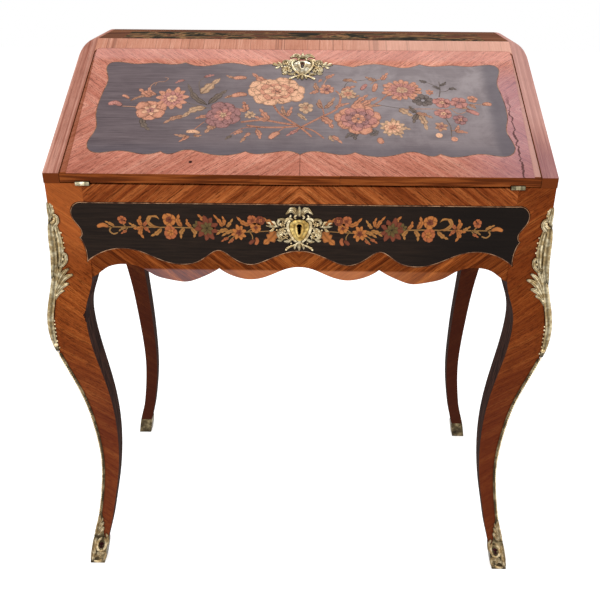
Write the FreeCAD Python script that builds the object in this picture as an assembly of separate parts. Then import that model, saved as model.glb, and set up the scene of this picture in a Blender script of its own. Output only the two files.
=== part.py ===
import FreeCAD
import Part
import math
import os

from FreeCAD import Vector

os.makedirs("parts", exist_ok=True)

# Driving sizes in millimetres and degrees.
# X runs to the right, Y to the back, Z up from the floor.
case_width = 735.0
case_depth = 410.0
writing_height = 720.0
upper_case_height = 160.0
lip_height = 15.0
slope_angle = 26.5
shoulder_radius = 22.0
case_overhang = 1.0

cheek_thickness = 23.5
top_thickness = 16.0
back_thickness = 10.0
back_rebate = 8.0
floor_thickness = 12.0
apron_thickness = 18.0
side_apron_thickness = 22.5

post_width = 53.0
knee_overhang = 16.5
back_foot_swing = 5.0
mount_stand = 4.5
sole_thickness = 3.0
sabot_thickness = 1.6
sabot_height = 98.0
bead_stand = 1.6
bead_width = 3.0

running_gap = 0.8
snug_gap = 0.3
pin_play = 0.05
overrun = 60.0
bevel_angle = 45.0

case_height = writing_height + upper_case_height

# The frame's origin is under the middle of everything, from the knees' mounts to the back feet.
front_reach = knee_overhang + mount_stand
back_reach = back_foot_swing + sabot_thickness
front = (front_reach - back_reach - case_depth) / 2
back = front + case_depth
apron_front = front + case_overhang
apron_back = back - case_overhang
middle_y = (front + back) / 2
corner_x = case_width / 2 - case_overhang
corner_y = (apron_back - apron_front) / 2
cheek_inner = case_width / 2 - cheek_thickness
post_inner = corner_x - post_width
slope = math.radians(slope_angle)

ALONG_X = Vector(1, 0, 0)
ALONG_Y = Vector(0, 1, 0)
ALONG_Z = Vector(0, 0, 1)

pieces = {}


def keep(name, *solids):
    """Hold a piece, or a group of like pieces, under its node name."""
    pieces[name] = solids[0] if len(solids) == 1 else Part.makeCompound(list(solids))


def block(x0, x1, y0, y1, z0, z1):
    """A square block between two corners."""
    return Part.makeBox(x1 - x0, y1 - y0, z1 - z0, Vector(x0, y0, z0))


def side_block(side, inner, outer, y0, y1, z0, z1):
    """A square block on the right or left side, between two distances from the middle."""
    return block(min(side * inner, side * outer), max(side * inner, side * outer), y0, y1, z0, z1)


def rod(centre, axis, radius, length):
    """A round rod that starts at a centre and runs along an axis."""
    return Part.makeCylinder(radius, length, centre, axis)


def curve(points):
    """A smooth edge through points."""
    spline = Part.BSplineCurve()
    spline.interpolate(points)
    return spline.toShape()


def upright_curve(points):
    """A smooth edge through rising points that ends straight up."""
    spline = Part.BSplineCurve()
    spline.interpolate(Points=points, InitialTangent=points[1] - points[0], FinalTangent=ALONG_Z)
    return spline.toShape()


def line(start, end):
    """A straight edge."""
    return Part.LineSegment(start, end).toShape()


def plate(edges, thickness):
    """A plate from a closed outline, thickened along a vector."""
    return Part.Face(Part.Wire(edges)).extrude(thickness)


def polygon_plate(points, thickness):
    """A plate with straight sides, thickened along a vector."""
    return Part.Face(Part.makePolygon(list(points) + [points[0]])).extrude(thickness)


def mirrored(shape):
    """The left-hand copy of a right-hand piece."""
    return shape.mirror(Vector(0, 0, 0), ALONG_X)


# The fall is laid out open and flat, then swung closed about its hinge line.
# Along is the distance from the hinge line, depth the distance below the writing face.
hinge_line = Vector(0, front, writing_height)
open_angle = math.degrees(math.pi) - slope_angle


def closed(shape):
    """A piece laid out on the open fall, swung to where the closed fall holds it."""
    turned = shape.copy()
    turned.rotate(hinge_line, ALONG_X, -open_angle)
    return turned


def on_fall(x, along, depth):
    """A place on the open fall."""
    return Vector(x, front - along, writing_height - depth)


def fall_block(x0, x1, along0, along1, depth0, depth1):
    """A square block laid out on the open fall."""
    return block(x0, x1, front - along1, front - along0, writing_height - depth1, writing_height - depth0)


# Leg: both outer faces are sawn to one curve, and the inner faces to their own.
# Heights are shares of the writing height, swings of the knee's overhang, widths of the post's width.
# The front legs have full knees, and the back legs turn in from the case with hardly a knee.
leg_height_shares = (0, 0.056, 0.111, 0.167, 0.222, 0.299, 0.375, 0.458,
                     0.542, 0.625, 0.681, 0.736, 0.785, 0.833, 0.889)
front_swing_shares = (0.79, 0.36, -0.27, -0.76, -1.09, -1.33, -1.18, -0.79,
                      -0.06, 0.76, 1.0, 0.79, 0.36, 0.06, 0)
front_width_shares = (0.42, 0.45, 0.45, 0.45, 0.49, 0.55, 0.66, 0.77,
                      0.91, 1.04, 1.05, 1.02, 1.09, 1.04, 1.02)
front_depth_shares = (0.42, 0.44, 0.43, 0.43, 0.45, 0.52, 0.61, 0.67,
                      0.75, 0.87, 0.91, 0.93, 0.98, 0.98, 1.0)
back_swing_shares = (back_foot_swing / knee_overhang, -0.18, -0.82, -1.33, -1.70, -2.0, -1.91, -1.58,
                     -1.09, -0.33, 0.15, 0.24, 0.12, 0, 0)
back_width_shares = (0.42, 0.43, 0.43, 0.43, 0.44, 0.45, 0.48, 0.53,
                     0.58, 0.70, 0.79, 0.85, 0.92, 0.97, 1.0)
leg_shares = {
    -1: (front_swing_shares, front_width_shares, front_depth_shares),
    1: (back_swing_shares, back_width_shares, back_width_shares),
}


def share_at(height, shares):
    """A leg share read between the pattern's heights."""
    level = height / writing_height
    for index in range(1, len(leg_height_shares)):
        low, high = leg_height_shares[index - 1], leg_height_shares[index]
        if level <= high:
            return shares[index - 1] + (shares[index] - shares[index - 1]) * (level - low) / (high - low)
    return shares[-1]


leg_patterns = {}
for end, (swing_shares, width_shares, depth_shares) in leg_shares.items():
    leg_patterns[end] = upright_curve([
        Vector(swing * knee_overhang, 0, height * writing_height)
        for height, swing in zip(leg_height_shares, swing_shares)
    ])


def swing_at(end, height):
    """How far the leg's corner stands out at a height, read off the sawn curve."""
    if height >= leg_height_shares[-1] * writing_height:
        return 0
    level = line(Vector(-case_width, 0, height), Vector(case_width, 0, height))
    return leg_patterns[end].distToShape(level)[1][0][0].x


def corner_solid(side, end, heights, outers, inners, deep_inners, top=None):
    """A solid at a post's corner, cut to a pattern on each face; outward distances are positive."""
    def pattern(place, inners):
        outer = [place(out, height) for out, height in zip(outers, heights)]
        inner = [place(out, height) for out, height in zip(inners, heights)]
        if top is None:
            edges = [curve(outer), line(outer[-1], inner[-1]), curve(inner)]
        else:
            outer_top = place(outers[-1], top)
            inner_top = place(inners[-1], top)
            edges = [upright_curve(outer), line(outer[-1], outer_top), line(outer_top, inner_top),
                     line(inner_top, inner[-1]), upright_curve(inner)]
        edges.append(line(inner[0], outer[0]))
        return Part.__sortEdges__(edges)

    reach_x = case_width
    reach_y = case_depth
    across_y = plate(
        pattern(lambda out, height: Vector(side * (corner_x + out), middle_y - reach_y, height), inners),
        ALONG_Y * (reach_y + reach_y))
    across_x = plate(
        pattern(lambda out, height: Vector(-reach_x, middle_y + end * (corner_y + out), height), deep_inners),
        ALONG_X * (reach_x + reach_x))
    return across_y.common(across_x)


def leg_blank(side, end):
    """One whole leg with its post, down to the floor."""
    swing_shares, width_shares, depth_shares = leg_shares[end]
    heights = [share * writing_height for share in leg_height_shares]
    outers = [share * knee_overhang for share in swing_shares]
    inners = [out - share * post_width for out, share in zip(outers, width_shares)]
    deep_inners = [out - share * post_width for out, share in zip(outers, depth_shares)]
    return corner_solid(side, end, heights, outers, inners, deep_inners, top=writing_height)


# Drawer front: the dark shaped panel of the apron, with its own outline.
# Across is a share of its half width, up a share of its height.
panel_margin = 31.5
panel_half_width = corner_x - panel_margin
rail_height = 28.5
panel_top = writing_height - rail_height
panel_height = 97.0
panel_bottom = panel_top - panel_height
panel_corner_shares = ((0.943, 1.0), (0.982, 0.96), (0.998, 0.86), (0.994, 0.745), (0.978, 0.65),
                       (0.964, 0.57), (0.961, 0.50), (0.966, 0.455), (0.973, 0.435))
panel_end_shares = ((0.973, 0.435), (0.958, 0.32), (0.951, 0.18), (0.952, 0.03))
panel_foot_shares = ((0.952, 0.03), (0.89, 0.175), (0.795, 0.258), (0.71, 0.21), (0.62, 0.07), (0.53, 0),
                     (0.445, 0.065), (0.39, 0.20), (0.361, 0.24), (0.31, 0.15), (0.268, 0.055), (0.224, 0.01),
                     (0.149, 0.08), (0.069, 0.20), (0, 0.242))


def panel_plate(grow, thickness):
    """The panel's shape, grown all round by a clearance, from the apron's face inwards."""
    half_width = panel_half_width + grow
    low = panel_bottom - grow
    high = panel_top + grow

    def place(side, share):
        across, up = share
        return Vector(side * half_width * across, apron_front, low + (high - low) * up)

    edges = []
    for side in (-1, 1):
        foot = [place(side, share) for share in panel_foot_shares]
        edges.append(curve(foot))
        edges.append(curve([place(side, share) for share in panel_end_shares]))
        edges.append(curve([place(side, share) for share in panel_corner_shares]))
    corner = panel_corner_shares[0]
    edges.append(line(place(-1, corner), place(1, corner)))
    return plate(Part.__sortEdges__(edges), ALONG_Y * thickness)


window = panel_plate(running_gap, apron_thickness + snug_gap)
window_mouth = panel_plate(running_gap, -knee_overhang)

# Carcass posts and aprons. The front posts' inner faces are planed flat where the skirt meets them,
# and the window is open to the front through the swell of their knees.
skirt_drop = 28.5
skirt_bottom = panel_bottom - skirt_drop
skirt_end_share = 0.22
skirt_end = skirt_bottom + skirt_drop * skirt_end_share
between_posts = block(-post_inner, post_inner, -case_depth, case_depth, skirt_end, case_height)
for side, side_name in ((-1, "left"), (1, "right")):
    for end, end_name in ((-1, "front"), (1, "back")):
        leg = leg_blank(side, end)
        leg = leg.cut(block(-case_width, case_width, -case_depth, case_depth, -overrun, sole_thickness))
        if end < 0:
            leg = leg.cut(window).cut(window_mouth).cut(between_posts)
        keep(f"leg_{end_name}_{side_name}", leg)

# Skirt: the scalloped rail under the drawer front, between the front posts.
# Across is a share of the distance between posts, up a share of the panel's height below the window.
skirt_foot_shares = ((1.0, skirt_end_share), (0.968, 0.44), (0.925, 0.79), (0.848, 0.99), (0.765, 0.83), (0.694, 0.34),
                     (0.612, 0.09), (0.549, 0), (0.478, 0.24), (0.427, 0.51), (0.384, 0.80))
skirt_crest_shares = ((0.384, 0.80), (0.335, 0.45), (0.29, 0.27), (0.244, 0.18), (0.156, 0.36),
                      (0.072, 0.77), (0, 0.92))


def skirt_place(side, share):
    """A place on the skirt's scalloped foot."""
    across, up = share
    return Vector(side * post_inner * across, apron_front, skirt_bottom + skirt_drop * up)


skirt_edges = []
for side in (-1, 1):
    skirt_edges.append(curve([skirt_place(side, share) for share in skirt_foot_shares]))
    skirt_edges.append(curve([skirt_place(side, share) for share in skirt_crest_shares]))
    foot = skirt_place(side, skirt_foot_shares[0])
    skirt_edges.append(line(foot, Vector(foot.x, foot.y, panel_top)))
skirt_edges.append(line(
    Vector(-post_inner, apron_front, panel_top), Vector(post_inner, apron_front, panel_top)))
front_skirt = plate(Part.__sortEdges__(skirt_edges), ALONG_Y * apron_thickness).cut(window)
keep("front_skirt", front_skirt)

# Hinge rail: closes the carcass over the drawer and carries the fall's hinges.
rail_depth = 50.0
rail_bottom = panel_top + running_gap
rail_step = 1.5
rail_step_depth = 6.0
hinge_rail = block(
    -post_inner, post_inner, apron_front, apron_front + rail_depth, rail_bottom, writing_height)

# Side and back aprons stand between the posts.
side_apron_drop = 140.0
side_wave_shares = ((-1.0, 0), (-0.7, 0.16), (-0.36, 0.05), (0, 0.17), (0.36, 0.05), (0.7, 0.16), (1.0, 0))
side_span = corner_y - post_width
for side, side_name in ((-1, "left"), (1, "right")):
    outer = side * corner_x
    low = writing_height - side_apron_drop
    wave = [
        Vector(outer, middle_y + side_span * across, low + side_apron_drop * up)
        for across, up in side_wave_shares
    ]
    high_front = Vector(outer, middle_y - side_span, writing_height)
    high_back = Vector(outer, middle_y + side_span, writing_height)
    edges = [curve(wave), line(wave[-1], high_back), line(high_back, high_front), line(high_front, wave[0])]
    keep(f"side_apron_{side_name}", plate(edges, -ALONG_X * side * side_apron_thickness))

back_apron_height = 118.0
back_arch = 22.0
back_low = writing_height - back_apron_height
back_wave = [
    Vector(-post_inner, apron_back, back_low),
    Vector(0, apron_back, back_low + back_arch),
    Vector(post_inner, apron_back, back_low),
]
back_high_left = Vector(-post_inner, apron_back, writing_height)
back_high_right = Vector(post_inner, apron_back, writing_height)
back_edges = [
    Part.Arc(*back_wave).toShape(),
    line(back_wave[-1], back_high_right),
    line(back_high_right, back_high_left),
    line(back_high_left, back_wave[0]),
]
keep("back_apron", plate(back_edges, -ALONG_Y * apron_thickness))

# Cheeks: the sloping sides of the upper case, with rounded shoulders.
slope_foot = Vector(0, front, writing_height + lip_height)
slope_run = (case_height - writing_height - lip_height) / math.tan(slope)
slope_head = Vector(0, front + slope_run, case_height)
case_outline = (
    Vector(-case_width, front, writing_height),
    Vector(-case_width, slope_foot.y, slope_foot.z),
    Vector(-case_width, slope_head.y, slope_head.z),
    Vector(-case_width, back, case_height),
    Vector(-case_width, back, writing_height),
)
case_profile = polygon_plate(case_outline, ALONG_X * (case_width + case_width))
half_width = case_width / 2
shoulder_x = half_width - shoulder_radius
shoulder_z = case_height - shoulder_radius
shoulder_mid = shoulder_radius * math.sin(math.radians(bevel_angle))
shoulder_edges = [
    line(Vector(-half_width, front, writing_height), Vector(half_width, front, writing_height)),
    line(Vector(half_width, front, writing_height), Vector(half_width, front, shoulder_z)),
    Part.Arc(Vector(half_width, front, shoulder_z),
             Vector(shoulder_x + shoulder_mid, front, shoulder_z + shoulder_mid),
             Vector(shoulder_x, front, case_height)).toShape(),
    line(Vector(shoulder_x, front, case_height), Vector(-shoulder_x, front, case_height)),
    Part.Arc(Vector(-shoulder_x, front, case_height),
             Vector(-shoulder_x - shoulder_mid, front, shoulder_z + shoulder_mid),
             Vector(-half_width, front, shoulder_z)).toShape(),
    line(Vector(-half_width, front, shoulder_z), Vector(-half_width, front, writing_height)),
]
case_solid = case_profile.common(plate(shoulder_edges, ALONG_Y * case_depth))

# Back panel in its rebates.
back_half = cheek_inner + back_rebate
back_panel = block(
    -back_half, back_half, back - back_thickness, back,
    writing_height, case_height - top_thickness + back_rebate)
keep("back_panel", back_panel)

# Fall board: the sloping flap that opens to be the writing surface.
fall_thickness = lip_height * math.cos(slope)
lip_set = lip_height * math.sin(slope)
fall_half = cheek_inner - running_gap
top_strip = 28.0
fall_length = (upper_case_height - lip_height) / math.sin(slope) - top_strip
fall_head = lip_set + fall_length
fall_corner = 10.0
hinge_gap = 1.5
edge_depth = 2.0
edge_low_width = 10.0
edge_high_width = 2.2


def fall_outline(grow):
    """The fall seen from above when open, grown by a clearance at its head and sides."""
    half = fall_half + grow
    head = fall_head + grow
    bend = fall_corner - fall_corner * math.sin(math.radians(bevel_angle))
    corners = []
    for side in (-1, 1):
        corners.append((
            on_fall(side * half, head - fall_corner, 0),
            on_fall(side * (half - bend), head - bend, 0),
            on_fall(side * (half - fall_corner), head, 0),
        ))
    left, right = corners
    foot_left = on_fall(-half, 0, 0)
    foot_right = on_fall(half, 0, 0)
    return [
        line(foot_left, left[0]), Part.Arc(*left).toShape(), line(left[2], right[2]),
        Part.Arc(*right[::-1]).toShape(), line(right[0], foot_right), line(foot_right, foot_left),
    ]


lip_points = (
    on_fall(-case_width, hinge_gap / math.sin(slope), 0),
    on_fall(-case_width, hinge_gap * math.sin(slope), hinge_gap * math.cos(slope)),
    on_fall(-case_width, lip_set, fall_thickness),
    on_fall(-case_width, fall_head + overrun, fall_thickness),
    on_fall(-case_width, fall_head + overrun, 0),
)
fall_section = polygon_plate(lip_points, ALONG_X * (case_width + case_width))
fall_board = plate(fall_outline(0), -ALONG_Z * fall_thickness).common(fall_section)
fall_room = plate(fall_outline(running_gap), -ALONG_Z * (fall_thickness + overrun))
fall_room.translate(ALONG_Z * snug_gap)

# The sunk moulding down each side of the fall widens towards the hinge.
for side in (-1, 1):
    sunk = (
        on_fall(side * (fall_half - edge_low_width), lip_set, fall_thickness - edge_depth),
        on_fall(side * (fall_half - edge_high_width), fall_head, fall_thickness - edge_depth),
        on_fall(side * (fall_half + overrun), fall_head, fall_thickness - edge_depth),
        on_fall(side * (fall_half + overrun), lip_set, fall_thickness - edge_depth),
    )
    fall_board = fall_board.cut(polygon_plate(sunk, -ALONG_Z * overrun))

# Top board and strike rail: the board's front edge is the crossbanded strip above the fall.
strike_lap = 32.0
strike_rest = 20.0
strike_height = 22.0
top_room = block(-cheek_inner, cheek_inner, front, back, case_height - top_thickness, case_height)
top_board = case_solid.common(top_room).cut(closed(fall_room)).cut(back_panel)
strike_room = block(
    -cheek_inner, cheek_inner, slope_head.y - strike_lap, slope_head.y + strike_rest,
    case_height - top_thickness - strike_height, case_height - top_thickness)
strike_rail = case_solid.common(strike_room).cut(closed(fall_room))

for side, side_name in ((-1, "left"), (1, "right")):
    cheek_room = side_block(side, cheek_inner, half_width, front, back, writing_height, case_height)
    keep(f"cheek_{side_name}", case_solid.common(cheek_room).cut(back_panel))

# Cartouche: the slate-coloured marquetry ground let into the fall's outer face.
cartouche_margin = 27.0
cartouche_half = fall_half - cartouche_margin
cartouche_low = 39.5
cartouche_head_margin = 36.0
cartouche_high = fall_length - cartouche_head_margin
veneer_thickness = 1.2
cartouche_edge_shares = (
    ((0, 0.986), (0.142, 0.991), (0.26, 0.96)),
    ((0.26, 0.96), (0.31, 0.985), (0.373, 0.998), (0.45, 0.975), (0.519, 0.957), (0.57, 0.975),
     (0.601, 1.0)),
    ((0.601, 1.0), (0.671, 0.975), (0.76, 0.99), (0.854, 0.978), (0.949, 1.0), (0.987, 0.985),
     (1.0, 0.955), (0.995, 0.878), (0.979, 0.80), (0.984, 0.68), (0.995, 0.50), (0.987, 0.363),
     (0.975, 0.291), (0.983, 0.20), (0.997, 0.11), (0.984, 0.05), (0.94, 0.014), (0.90, 0.02),
     (0.835, 0.036), (0.734, 0.007), (0.646, 0.034)),
    ((0.646, 0.034), (0.597, 0.011), (0.532, 0.05), (0.45, 0.025), (0.364, 0), (0.30, 0.012),
     (0.253, 0.041)),
    ((0.253, 0.041), (0.177, 0.018), (0.089, 0.045), (0, 0.014)),
)
cartouche_edges = []
for side in (-1, 1):
    for stretch in cartouche_edge_shares:
        cartouche_edges.append(curve([
            on_fall(side * cartouche_half * across,
                    lip_set + cartouche_low + (cartouche_high - cartouche_low) * up,
                    fall_thickness - veneer_thickness)
            for across, up in stretch
        ]))
cartouche = plate(Part.__sortEdges__(cartouche_edges), -ALONG_Z * veneer_thickness)
fall_board = fall_board.cut(cartouche)

# Leather on the writing faces, sunk flush.
leather_thickness = 1.0
leather_margin = 34.0
floor_front = apron_front + rail_depth
nest_setback = 1.0
nest_front = slope_head.y + nest_setback
fall_leather = fall_block(
    leather_margin - fall_half, fall_half - leather_margin,
    leather_margin, fall_head - leather_margin - leather_margin, 0, leather_thickness)
fall_board = fall_board.cut(fall_leather)
floor_board = block(
    -cheek_inner, cheek_inner, floor_front, apron_back - apron_thickness,
    writing_height - floor_thickness, writing_height)
floor_leather = block(
    leather_margin - fall_half, fall_half - leather_margin, floor_front, nest_front - leather_margin / 2,
    writing_height - leather_thickness, writing_height)
for side in (-1, 1):
    for end in (-1, 1):
        floor_board = floor_board.cut(leg_blank(side, end))
keep("writing_floor", floor_board.cut(floor_leather))
keep("floor_leather", floor_leather)
keep("fall_leather", closed(fall_leather))
keep("fall_cartouche", closed(cartouche))

# Butt hinges: two leaves each, three knuckles and a pin, on the hinge line.
hinge_inset = 33.0
hinge_place = cheek_inner - hinge_inset
hinge_width = 20.0
knuckles = 3
hinge_radius = 3.6
leaf_length = 18.0
leaf_thickness = 1.5
pin_radius = 1.2
knuckle_play = 0.2
knuckle = hinge_width / knuckles
fixed_leaves = []
moving_leaves = []
hinge_pins = []
hinge_rooms = []
fixed_recesses = []
moving_recesses = []
for side in (-1, 1):
    start = side * hinge_place - hinge_width / 2
    axis_start = Vector(start, front, writing_height)
    barrel = rod(axis_start, ALONG_X, hinge_radius, hinge_width)
    bore = rod(axis_start, ALONG_X, pin_radius + pin_play, hinge_width)
    pin = rod(axis_start, ALONG_X, pin_radius, hinge_width)
    middle = block(start + knuckle, start + knuckle + knuckle, front - overrun, front + overrun,
                   writing_height - overrun, writing_height + overrun)
    middle_short = block(start + knuckle + knuckle_play, start + knuckle + knuckle - knuckle_play,
                         front - overrun, front + overrun, writing_height - overrun, writing_height + overrun)
    fixed_plate = block(start, start + hinge_width, front, front + leaf_length,
                        writing_height - leaf_thickness, writing_height)
    moving_plate = closed(fall_block(start, start + hinge_width, 0, leaf_length, 0, leaf_thickness))
    knuckle_room = rod(Vector(start - running_gap, front, writing_height), ALONG_X,
                       hinge_radius + knuckle_play, hinge_width + running_gap + running_gap)
    outer_knuckles = barrel.cut(middle)
    inner_knuckle = barrel.common(middle_short)
    barrel_room = rod(axis_start, ALONG_X, hinge_radius + knuckle_play, hinge_width)
    fixed_clear = fixed_plate.cut(barrel_room.common(middle))
    side_knuckle_room = barrel_room.cut(middle_short)
    moving_clear = moving_plate.cut(side_knuckle_room)
    fixed_leaves.append(fixed_clear.fuse(outer_knuckles).removeSplitter().cut(pin))
    moving_leaves.append(moving_clear.fuse(inner_knuckle).removeSplitter().cut(bore))
    hinge_pins.append(pin)
    hinge_rooms.append(knuckle_room)
    fixed_recesses.append(fixed_plate)
    moving_recesses.append(moving_plate)
keep("hinge_leaves_fixed", *fixed_leaves)
keep("hinge_leaves_moving", *moving_leaves)
keep("hinge_pins", *hinge_pins)

# Locks: a case let into the wood, with a bolt that shoots 7 mm.
bolt_throw = 7.0
lock_width = 62.0
lock_height = 38.0
lock_thickness = 8.0
bolt_width = 22.0
bolt_thickness = 4.0
bolt_height = 16.0
keyhole_radius = 3.2
keyhole_slot = 3.0
keyhole_height = 15.0
escutcheon_thickness = 2.4


def lock_pieces(place, throw_axis, depth_axis):
    """A lock's case and bolt, the bolt's way out, and the room that both need, from its top middle."""
    def slab(width, top, bottom, depth0, depth1):
        corner = place - ALONG_X * (width / 2) + throw_axis * bottom + depth_axis * depth0
        outline = (corner, corner + ALONG_X * width, corner + ALONG_X * width + throw_axis * (top - bottom),
                   corner + throw_axis * (top - bottom))
        return polygon_plate(outline, depth_axis * (depth1 - depth0))

    bolt_near = (lock_thickness - bolt_thickness) / 2
    bolt_far = bolt_near + bolt_thickness
    case = slab(lock_width, 0, -lock_height, 0, lock_thickness)
    room = slab(bolt_width + snug_gap + snug_gap, 0, -bolt_height - snug_gap,
                bolt_near - snug_gap, bolt_far + snug_gap)
    bolt = slab(bolt_width, 0, -bolt_height, bolt_near, bolt_far)
    mortise = slab(bolt_width + running_gap + running_gap, bolt_throw + running_gap, -running_gap,
                   bolt_near - running_gap, bolt_far + running_gap)
    return case.cut(room), bolt, case, mortise


def keyhole(place, up_axis, through_axis, length):
    """The cutter for a keyhole: a round eye over a narrow slot."""
    start = place - through_axis * (length / 2)
    eye_centre = start + up_axis * (keyhole_height / 2 - keyhole_radius)
    eye = rod(eye_centre, through_axis, keyhole_radius, length)
    low = start - up_axis * (keyhole_height / 2)
    outline = (low - ALONG_X * (keyhole_slot / 2), low + ALONG_X * (keyhole_slot / 2),
               eye_centre + ALONG_X * (keyhole_slot / 2), eye_centre - ALONG_X * (keyhole_slot / 2))
    return eye.fuse(polygon_plate(outline, through_axis * length))


# Escutcheons: a shield with a crest, two winged sprays and crossed stems.
# Across is a share of the half width, up a share of the height.
escutcheon_shares = ((0, 1.0), (0.16, 0.93), (0.42, 0.97), (0.47, 0.84), (0.33, 0.74), (0.45, 0.66),
                     (0.62, 0.70), (0.72, 0.61), (1.0, 0.56), (0.77, 0.47), (0.66, 0.33), (0.47, 0.30),
                     (0.54, 0.13), (0.36, 0.15), (0.22, 0.19), (0.10, 0.10), (0, 0))
escutcheon_half = 49.0
drawer_escutcheon_height = 68.0
fall_escutcheon_height = 70.0


def escutcheon(low, up_axis, out_axis, height):
    """A pierced brass plate round a keyhole."""
    def place(side, share):
        across, up = share
        return low + ALONG_X * (side * escutcheon_half * across) + up_axis * (height * up)

    right = [place(1, share) for share in escutcheon_shares]
    left = [place(-1, share) for share in escutcheon_shares[-2:0:-1]]
    return polygon_plate(right + left, out_axis * escutcheon_thickness)


# Drawer: a box of boards behind the shaped front, running between the posts.
drawer_half = post_inner - running_gap
drawer_board = 10.0
drawer_back_gap = 12.0
drawer_floor = 5.0
drawer_groove = 4.0
drawer_bottom_lift = 7.0
drawer_lift = 27.0
drawer_low = panel_bottom + drawer_lift
drawer_back_y = apron_back - apron_thickness - drawer_back_gap
drawer_front_back = apron_front + apron_thickness
drawer_front = panel_plate(0, apron_thickness)
tray_low = drawer_low + drawer_bottom_lift
drawer_bottom = block(
    drawer_board - drawer_groove - drawer_half, drawer_half + drawer_groove - drawer_board,
    drawer_front_back - drawer_groove, drawer_back_y - drawer_board, tray_low, tray_low + drawer_floor)
drawer_sides = []
for side in (-1, 1):
    board = side_block(side, drawer_half - drawer_board, drawer_half,
                       drawer_front_back, drawer_back_y, drawer_low, panel_top)
    drawer_sides.append(board.cut(drawer_bottom))
drawer_back = block(
    drawer_board - drawer_half, drawer_half - drawer_board, drawer_back_y - drawer_board, drawer_back_y,
    drawer_low, panel_top)
drawer_lock_place = Vector(0, drawer_front_back, panel_top)
drawer_case, drawer_bolt, drawer_lock_room, drawer_mortise = lock_pieces(drawer_lock_place, ALONG_Z, -ALONG_Y)
drawer_escutcheon_lift = 26.0
escutcheon_low = panel_bottom + drawer_escutcheon_lift
keyhole_share = 0.5
drawer_keyhole_height = escutcheon_low + drawer_escutcheon_height * keyhole_share
drawer_keyhole = keyhole(
    Vector(0, drawer_front_back - lock_thickness, drawer_keyhole_height), ALONG_Z, -ALONG_Y, overrun)
keep("drawer_front", drawer_front.cut(drawer_bottom).cut(drawer_lock_room).cut(drawer_keyhole))
keep("drawer_sides", *drawer_sides)
keep("drawer_back", drawer_back)
keep("drawer_bottom", drawer_bottom)
keep("drawer_lock_case", drawer_case.cut(drawer_keyhole))
keep("drawer_lock_bolt", drawer_bolt.cut(drawer_keyhole))
drawer_plate = escutcheon(Vector(0, apron_front, escutcheon_low), ALONG_Z, -ALONG_Y, drawer_escutcheon_height)
keep("drawer_escutcheon", drawer_plate.cut(drawer_keyhole))

# The rail's front arris is stepped down between the hinges, so that a dark line shows under the lip.
step_half = hinge_place - hinge_width / 2
hinge_rail = hinge_rail.cut(block(
    -step_half, step_half, front, apron_front + rail_step_depth,
    writing_height - rail_step, writing_height))
for recess in fixed_recesses + hinge_rooms:
    hinge_rail = hinge_rail.cut(recess)
keep("hinge_rail", hinge_rail.cut(drawer_mortise))
for name in ("leg_front_left", "leg_front_right"):
    for recess in fixed_recesses + hinge_rooms:
        pieces[name] = pieces[name].cut(recess)

# Runners carry the drawer's sides, and kickers above them stop it tipping.
runner_ledge = 12.0
runner_thickness = 10.0
runner_front = apron_front + post_width
runner_back = apron_back - post_width
for side, side_name in ((-1, "left"), (1, "right")):
    ledge = side_block(side, drawer_half - runner_ledge, cheek_inner, runner_front, runner_back,
                       drawer_low - snug_gap - runner_thickness, drawer_low - snug_gap)
    guide = side_block(side, drawer_half + snug_gap, cheek_inner, runner_front, runner_back,
                       drawer_low - snug_gap, drawer_low + runner_thickness)
    kicker = side_block(side, drawer_half - runner_ledge, cheek_inner, runner_front, runner_back,
                        panel_top + running_gap, writing_height - floor_thickness)
    keep(f"drawer_runner_{side_name}", ledge.fuse(guide).removeSplitter(), kicker)

# Fall lock, at the head of the fall and behind its escutcheon.
fall_lock_place = on_fall(0, fall_head, (fall_thickness - lock_thickness) / 2 - leather_thickness)
fall_case, fall_bolt, fall_lock_room, fall_mortise = lock_pieces(fall_lock_place, -ALONG_Y, -ALONG_Z)
fall_escutcheon_margin = 11.0
fall_escutcheon_low = fall_head - fall_escutcheon_margin - fall_escutcheon_height
fall_keyhole = keyhole(
    on_fall(0, fall_escutcheon_low + fall_escutcheon_height * keyhole_share, fall_thickness),
    -ALONG_Y, -ALONG_Z, overrun)
for recess in moving_recesses + hinge_rooms:
    opened = recess.copy()
    opened.rotate(hinge_line, ALONG_X, open_angle)
    fall_board = fall_board.cut(opened)
fall_plate = escutcheon(
    on_fall(0, fall_escutcheon_low, fall_thickness), -ALONG_Y, -ALONG_Z, fall_escutcheon_height)
fall_keyhole_inner = fall_keyhole.common(fall_block(
    -overrun, overrun, 0, fall_head, leather_thickness, fall_thickness + overrun))
keep("fall_lock_case", closed(fall_case.cut(fall_keyhole)))
keep("fall_lock_bolt", closed(fall_bolt.cut(fall_keyhole)))
keep("fall_escutcheon", closed(fall_plate.cut(fall_keyhole)))
fall_board = fall_board.cut(fall_lock_room).cut(fall_keyhole_inner)
keep("top_board", top_board.cut(closed(fall_mortise)))
keep("strike_rail", strike_rail.cut(closed(fall_mortise)))

# Stays: an arm from the fall and an arm from the cheek meet at an elbow, as an exact parallelogram.
stay_thickness = 2.5
stay_half_width = 5.0
stay_pin_radius = 2.4
stay_gap = 0.4
stay_fall_along = 110.0
stay_fall_lift = 8.0
stay_headroom = 30.0
stay_setback = 38.8
stay_plate_radius = 9.0
bracket_length = 26.0


def arm(start, end, x, thickness):
    """A flat arm with round ends between two pivots, from a plane at x."""
    direction = (end - start).normalize()
    across = direction.cross(ALONG_X) * stay_half_width
    outline = [
        line(start + across, end + across),
        Part.Arc(end + across, end + direction * stay_half_width, end - across).toShape(),
        line(end - across, start - across),
        Part.Arc(start - across, start - direction * stay_half_width, start + across).toShape(),
    ]
    body = plate(outline, ALONG_X * thickness)
    body.translate(ALONG_X * x)
    return body


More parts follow.
